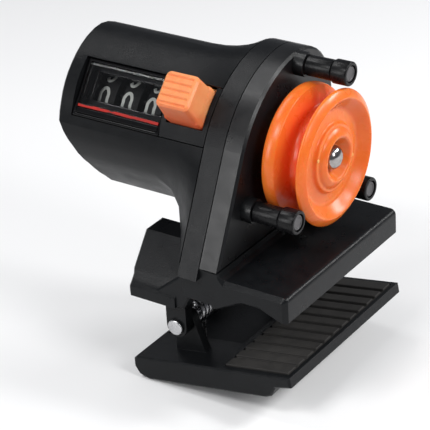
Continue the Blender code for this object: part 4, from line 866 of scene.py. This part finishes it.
def hingePin():
    # The pin is turned along X like the other profiles, then laid along Y
    shape = spinWire(profileWire(hingeShape["profile"]), hingeShape["steps"])
    bmesh.ops.rotate(shape, cent=(0, 0, 0), matrix=Matrix.Rotation(fullTurn / 4, 3, "Z"), verts=shape.verts)
    bmesh.ops.translate(shape, vec=hingePlace * mm, verts=shape.verts)
    mesh = smoothMesh("hinge_pin_turned", shape)
    addPiece("hinge_pin_turned", mesh, "brightSteel", "housing", "bright_steel", "hinge_pin")


hingePin()

jawCoil = {"radius": 3.3, "wire": 1.2, "curls": 5, "start": -27.4, "length": 9.8, "steps": 24, "sides": 12}


def jawSpring():
    # A round section is spun along the pin into the coil, and its two ends are drawn out into legs
    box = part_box("jaw_spring")
    shape = bmesh.new()
    bmesh.ops.create_circle(
        shape, cap_ends=False, segments=jawCoil["sides"], radius=jawCoil["wire"] / 2 * mm
    )
    bmesh.ops.translate(shape, vec=Vector((-jawCoil["radius"], jawCoil["start"], 0)) * mm, verts=shape.verts)
    first = shape.edges[:]
    steps = jawCoil["steps"] * jawCoil["curls"]
    made = bmesh.ops.spin(
        shape, geom=first, cent=(0, 0, 0), axis=(0, 1, 0), dvec=(0, jawCoil["length"] / steps * mm, 0),
        angle=-fullTurn * jawCoil["curls"], steps=steps,
    )
    last = [item for item in made["geom_last"] if isinstance(item, bmesh.types.BMEdge)]
    bmesh.ops.translate(shape, vec=hingePlace * mm, verts=shape.verts)
    for loop, level in ((first, box[1].z), (last, box[0].z)):
        drawn = bmesh.ops.extrude_edge_only(shape, edges=loop)
        verts = [item for item in drawn["geom"] if isinstance(item, bmesh.types.BMVert)]
        edges = [item for item in drawn["geom"] if isinstance(item, bmesh.types.BMEdge)]
        middle = sum((vert.co for vert in verts), Vector()) / len(verts)
        bmesh.ops.translate(shape, vec=(0, 0, level - middle.z), verts=verts)
        ring = [edge for edge in edges if edge.verts[0] in verts and edge.verts[1] in verts]
        bmesh.ops.contextual_create(shape, geom=ring)
    bmesh.ops.recalc_face_normals(shape, faces=shape.faces)
    mesh = smoothMesh("jaw_spring_wound", shape)
    addPiece("jaw_spring_wound", mesh, "brightSteel", "housing", "bright_steel", "jaw_spring")


jawSpring()
print("hinge and spring made")


# Pieces inside the case keep their solids
insideLooks = {
    "bushBrass": ("axle_bush", "rear_bush", "left_bush", "axle_pinion"),
    "gearWhite": (
        "idler_gear_one", "idler_gear_two", "output_gear", "carry_pinion_tens", "carry_pinion_hundreds",
    ),
    "brightSteel": (
        "counter_shaft", "carry_shaft", "idler_pin_one", "idler_pin_two", "reset_spring", "cover_screw_upper",
        "cover_screw_lower", "barrel_screw_upper", "barrel_screw_lower",
    ),
}
for look, nodes in insideLooks.items():
    for node in nodes:
        mesh = frame["nodes"][node].data
        mesh.materials.clear()
        mesh.materials.append(looks[look])
print("inside pieces dressed")


# The floor's size is in metres, and it lies a little under the object
stageValues = {
    "size": 6.0, "under": 0.2, "colour": (0.88, 0.88, 0.88), "shadeForLight": (0.45, 0.45, 0.45), "rough": 0.8,
    "specular": 0.1,
}


def floorLook():
    # Pale to the eye and in reflections, and darker as a bounce of light on the object
    material = bpy.data.materials.new("paleFloor")
    material.use_nodes = True
    tree = material.node_tree
    shader = tree.nodes["Principled BSDF"]
    shader.inputs["Roughness"].default_value = stageValues["rough"]
    shader.inputs["Specular IOR Level"].default_value = stageValues["specular"]
    path = tree.nodes.new("ShaderNodeLightPath")
    seen = path.outputs["Is Camera Ray"]
    for kind in ("Is Glossy Ray", "Is Transmission Ray"):
        either = tree.nodes.new("ShaderNodeMath")
        either.operation = "MAXIMUM"
        tree.links.new(seen, either.inputs[0])
        tree.links.new(path.outputs[kind], either.inputs[1])
        seen = either.outputs["Value"]
    mix = tree.nodes.new("ShaderNodeMix")
    mix.data_type = "RGBA"
    mix.inputs["A"].default_value = (*stageValues["shadeForLight"], 1.0)
    mix.inputs["B"].default_value = (*stageValues["colour"], 1.0)
    tree.links.new(seen, mix.inputs["Factor"])
    tree.links.new(mix.outputs["Result"], shader.inputs["Base Color"])
    return material


def addFloor():
    shape = bmesh.new()
    bmesh.ops.create_grid(shape, x_segments=1, y_segments=1, size=stageValues["size"] / 2)
    level = cadBounds[0].z - stageValues["under"] * mm
    bmesh.ops.translate(shape, vec=(0, 0, level), verts=shape.verts)
    mesh = bpy.data.meshes.new("floor")
    shape.to_mesh(mesh)
    shape.free()
    mesh.materials.append(floorLook())
    floor = bpy.data.objects.new("floor", mesh)
    bpy.context.scene.collection.objects.link(floor)


addFloor()

worldValues = {"colour": (0.17, 0.175, 0.19)}


def addWorld():
    world = bpy.data.worlds.new("studio")
    world.use_nodes = True
    bpy.context.scene.world = world
    world.node_tree.nodes["Background"].inputs["Color"].default_value = (*worldValues["colour"], 1.0)


addWorld()

# Each lamp's place and aim are in millimetres, its two sides in metres and its power in watts
lampValues = {
    "keyLamp": {"place": (-120, -520, 620), "aim": (-20, 0, 20), "size": (0.30, 0.20), "power": 2.6},
    "leftLamp": {"place": (-328, -598, 242), "aim": (-20, -10, 25), "size": (0.20, 0.26), "power": 1.4},
    "frontLamp": {"place": (576, -108, 426), "aim": (0, 0, 30), "size": (0.20, 0.28), "power": 2.0},
    "sideLamp": {"place": (476, 241, 482), "aim": (0, 0, 30), "size": (0.13, 0.13), "power": 1.7},
    "backLamp": {"place": (-415, 110, 625), "aim": (-40, 10, 30), "size": (0.36, 0.10), "power": 0.9},
    "paneLamp": {"place": (-422, -102, 648), "aim": (-60, -10, 50), "size": (0.10, 0.12), "power": 0.6},
    "rimLamp": {"place": (384, 526, 348), "aim": (0, 0, 10), "size": (0.24, 0.08), "power": 2.0},
}


def addLamp(name, values):
    lamp = bpy.data.lights.new(name, "AREA")
    lamp.shape = "RECTANGLE"
    lamp.size, lamp.size_y = values["size"]
    lamp.energy = values["power"]
    obj = bpy.data.objects.new(name, lamp)
    obj.location = Vector(values["place"]) * mm
    aim = Vector(values["aim"]) * mm - obj.location
    obj.rotation_euler = aim.to_track_quat("-Z", "Y").to_euler()
    bpy.context.scene.collection.objects.link(obj)


for name, values in lampValues.items():
    addLamp(name, values)

cameraValues = {
    "place": (293.78, -454.83, 307.14), "azimuth": 35.88, "elevation": 28.15, "roll": -3.43, "lens": 164.88,
    "sensor": 36.0, "nearest": 0.01, "furthest": 20.0,
}


def addCamera():
    # Azimuth and elevation say where it looks from, and roll turns it about that line
    around = math.radians(cameraValues["azimuth"])
    above = math.radians(cameraValues["elevation"])
    roll = math.radians(cameraValues["roll"])
    back = Vector((
        math.sin(around) * math.cos(above), -math.cos(around) * math.cos(above), math.sin(above)
    ))
    right = Vector((0, 0, 1)).cross(back).normalized()
    up = back.cross(right)
    rolledRight = math.cos(roll) * right + math.sin(roll) * up
    rolledUp = math.cos(roll) * up - math.sin(roll) * right
    data = bpy.data.cameras.new("camera")
    data.sensor_width = cameraValues["sensor"]
    data.lens = cameraValues["lens"]
    data.clip_start = cameraValues["nearest"]
    data.clip_end = cameraValues["furthest"]
    camera = bpy.data.objects.new("camera", data)
    turn = Matrix((rolledRight, rolledUp, back)).transposed().to_4x4()
    camera.matrix_world = Matrix.Translation(Vector(cameraValues["place"]) * mm) @ turn
    bpy.context.scene.collection.objects.link(camera)
    bpy.context.scene.camera = camera


addCamera()
bpy.context.scene.view_settings.view_transform = "Standard"
print("stage, lamps and camera placed")
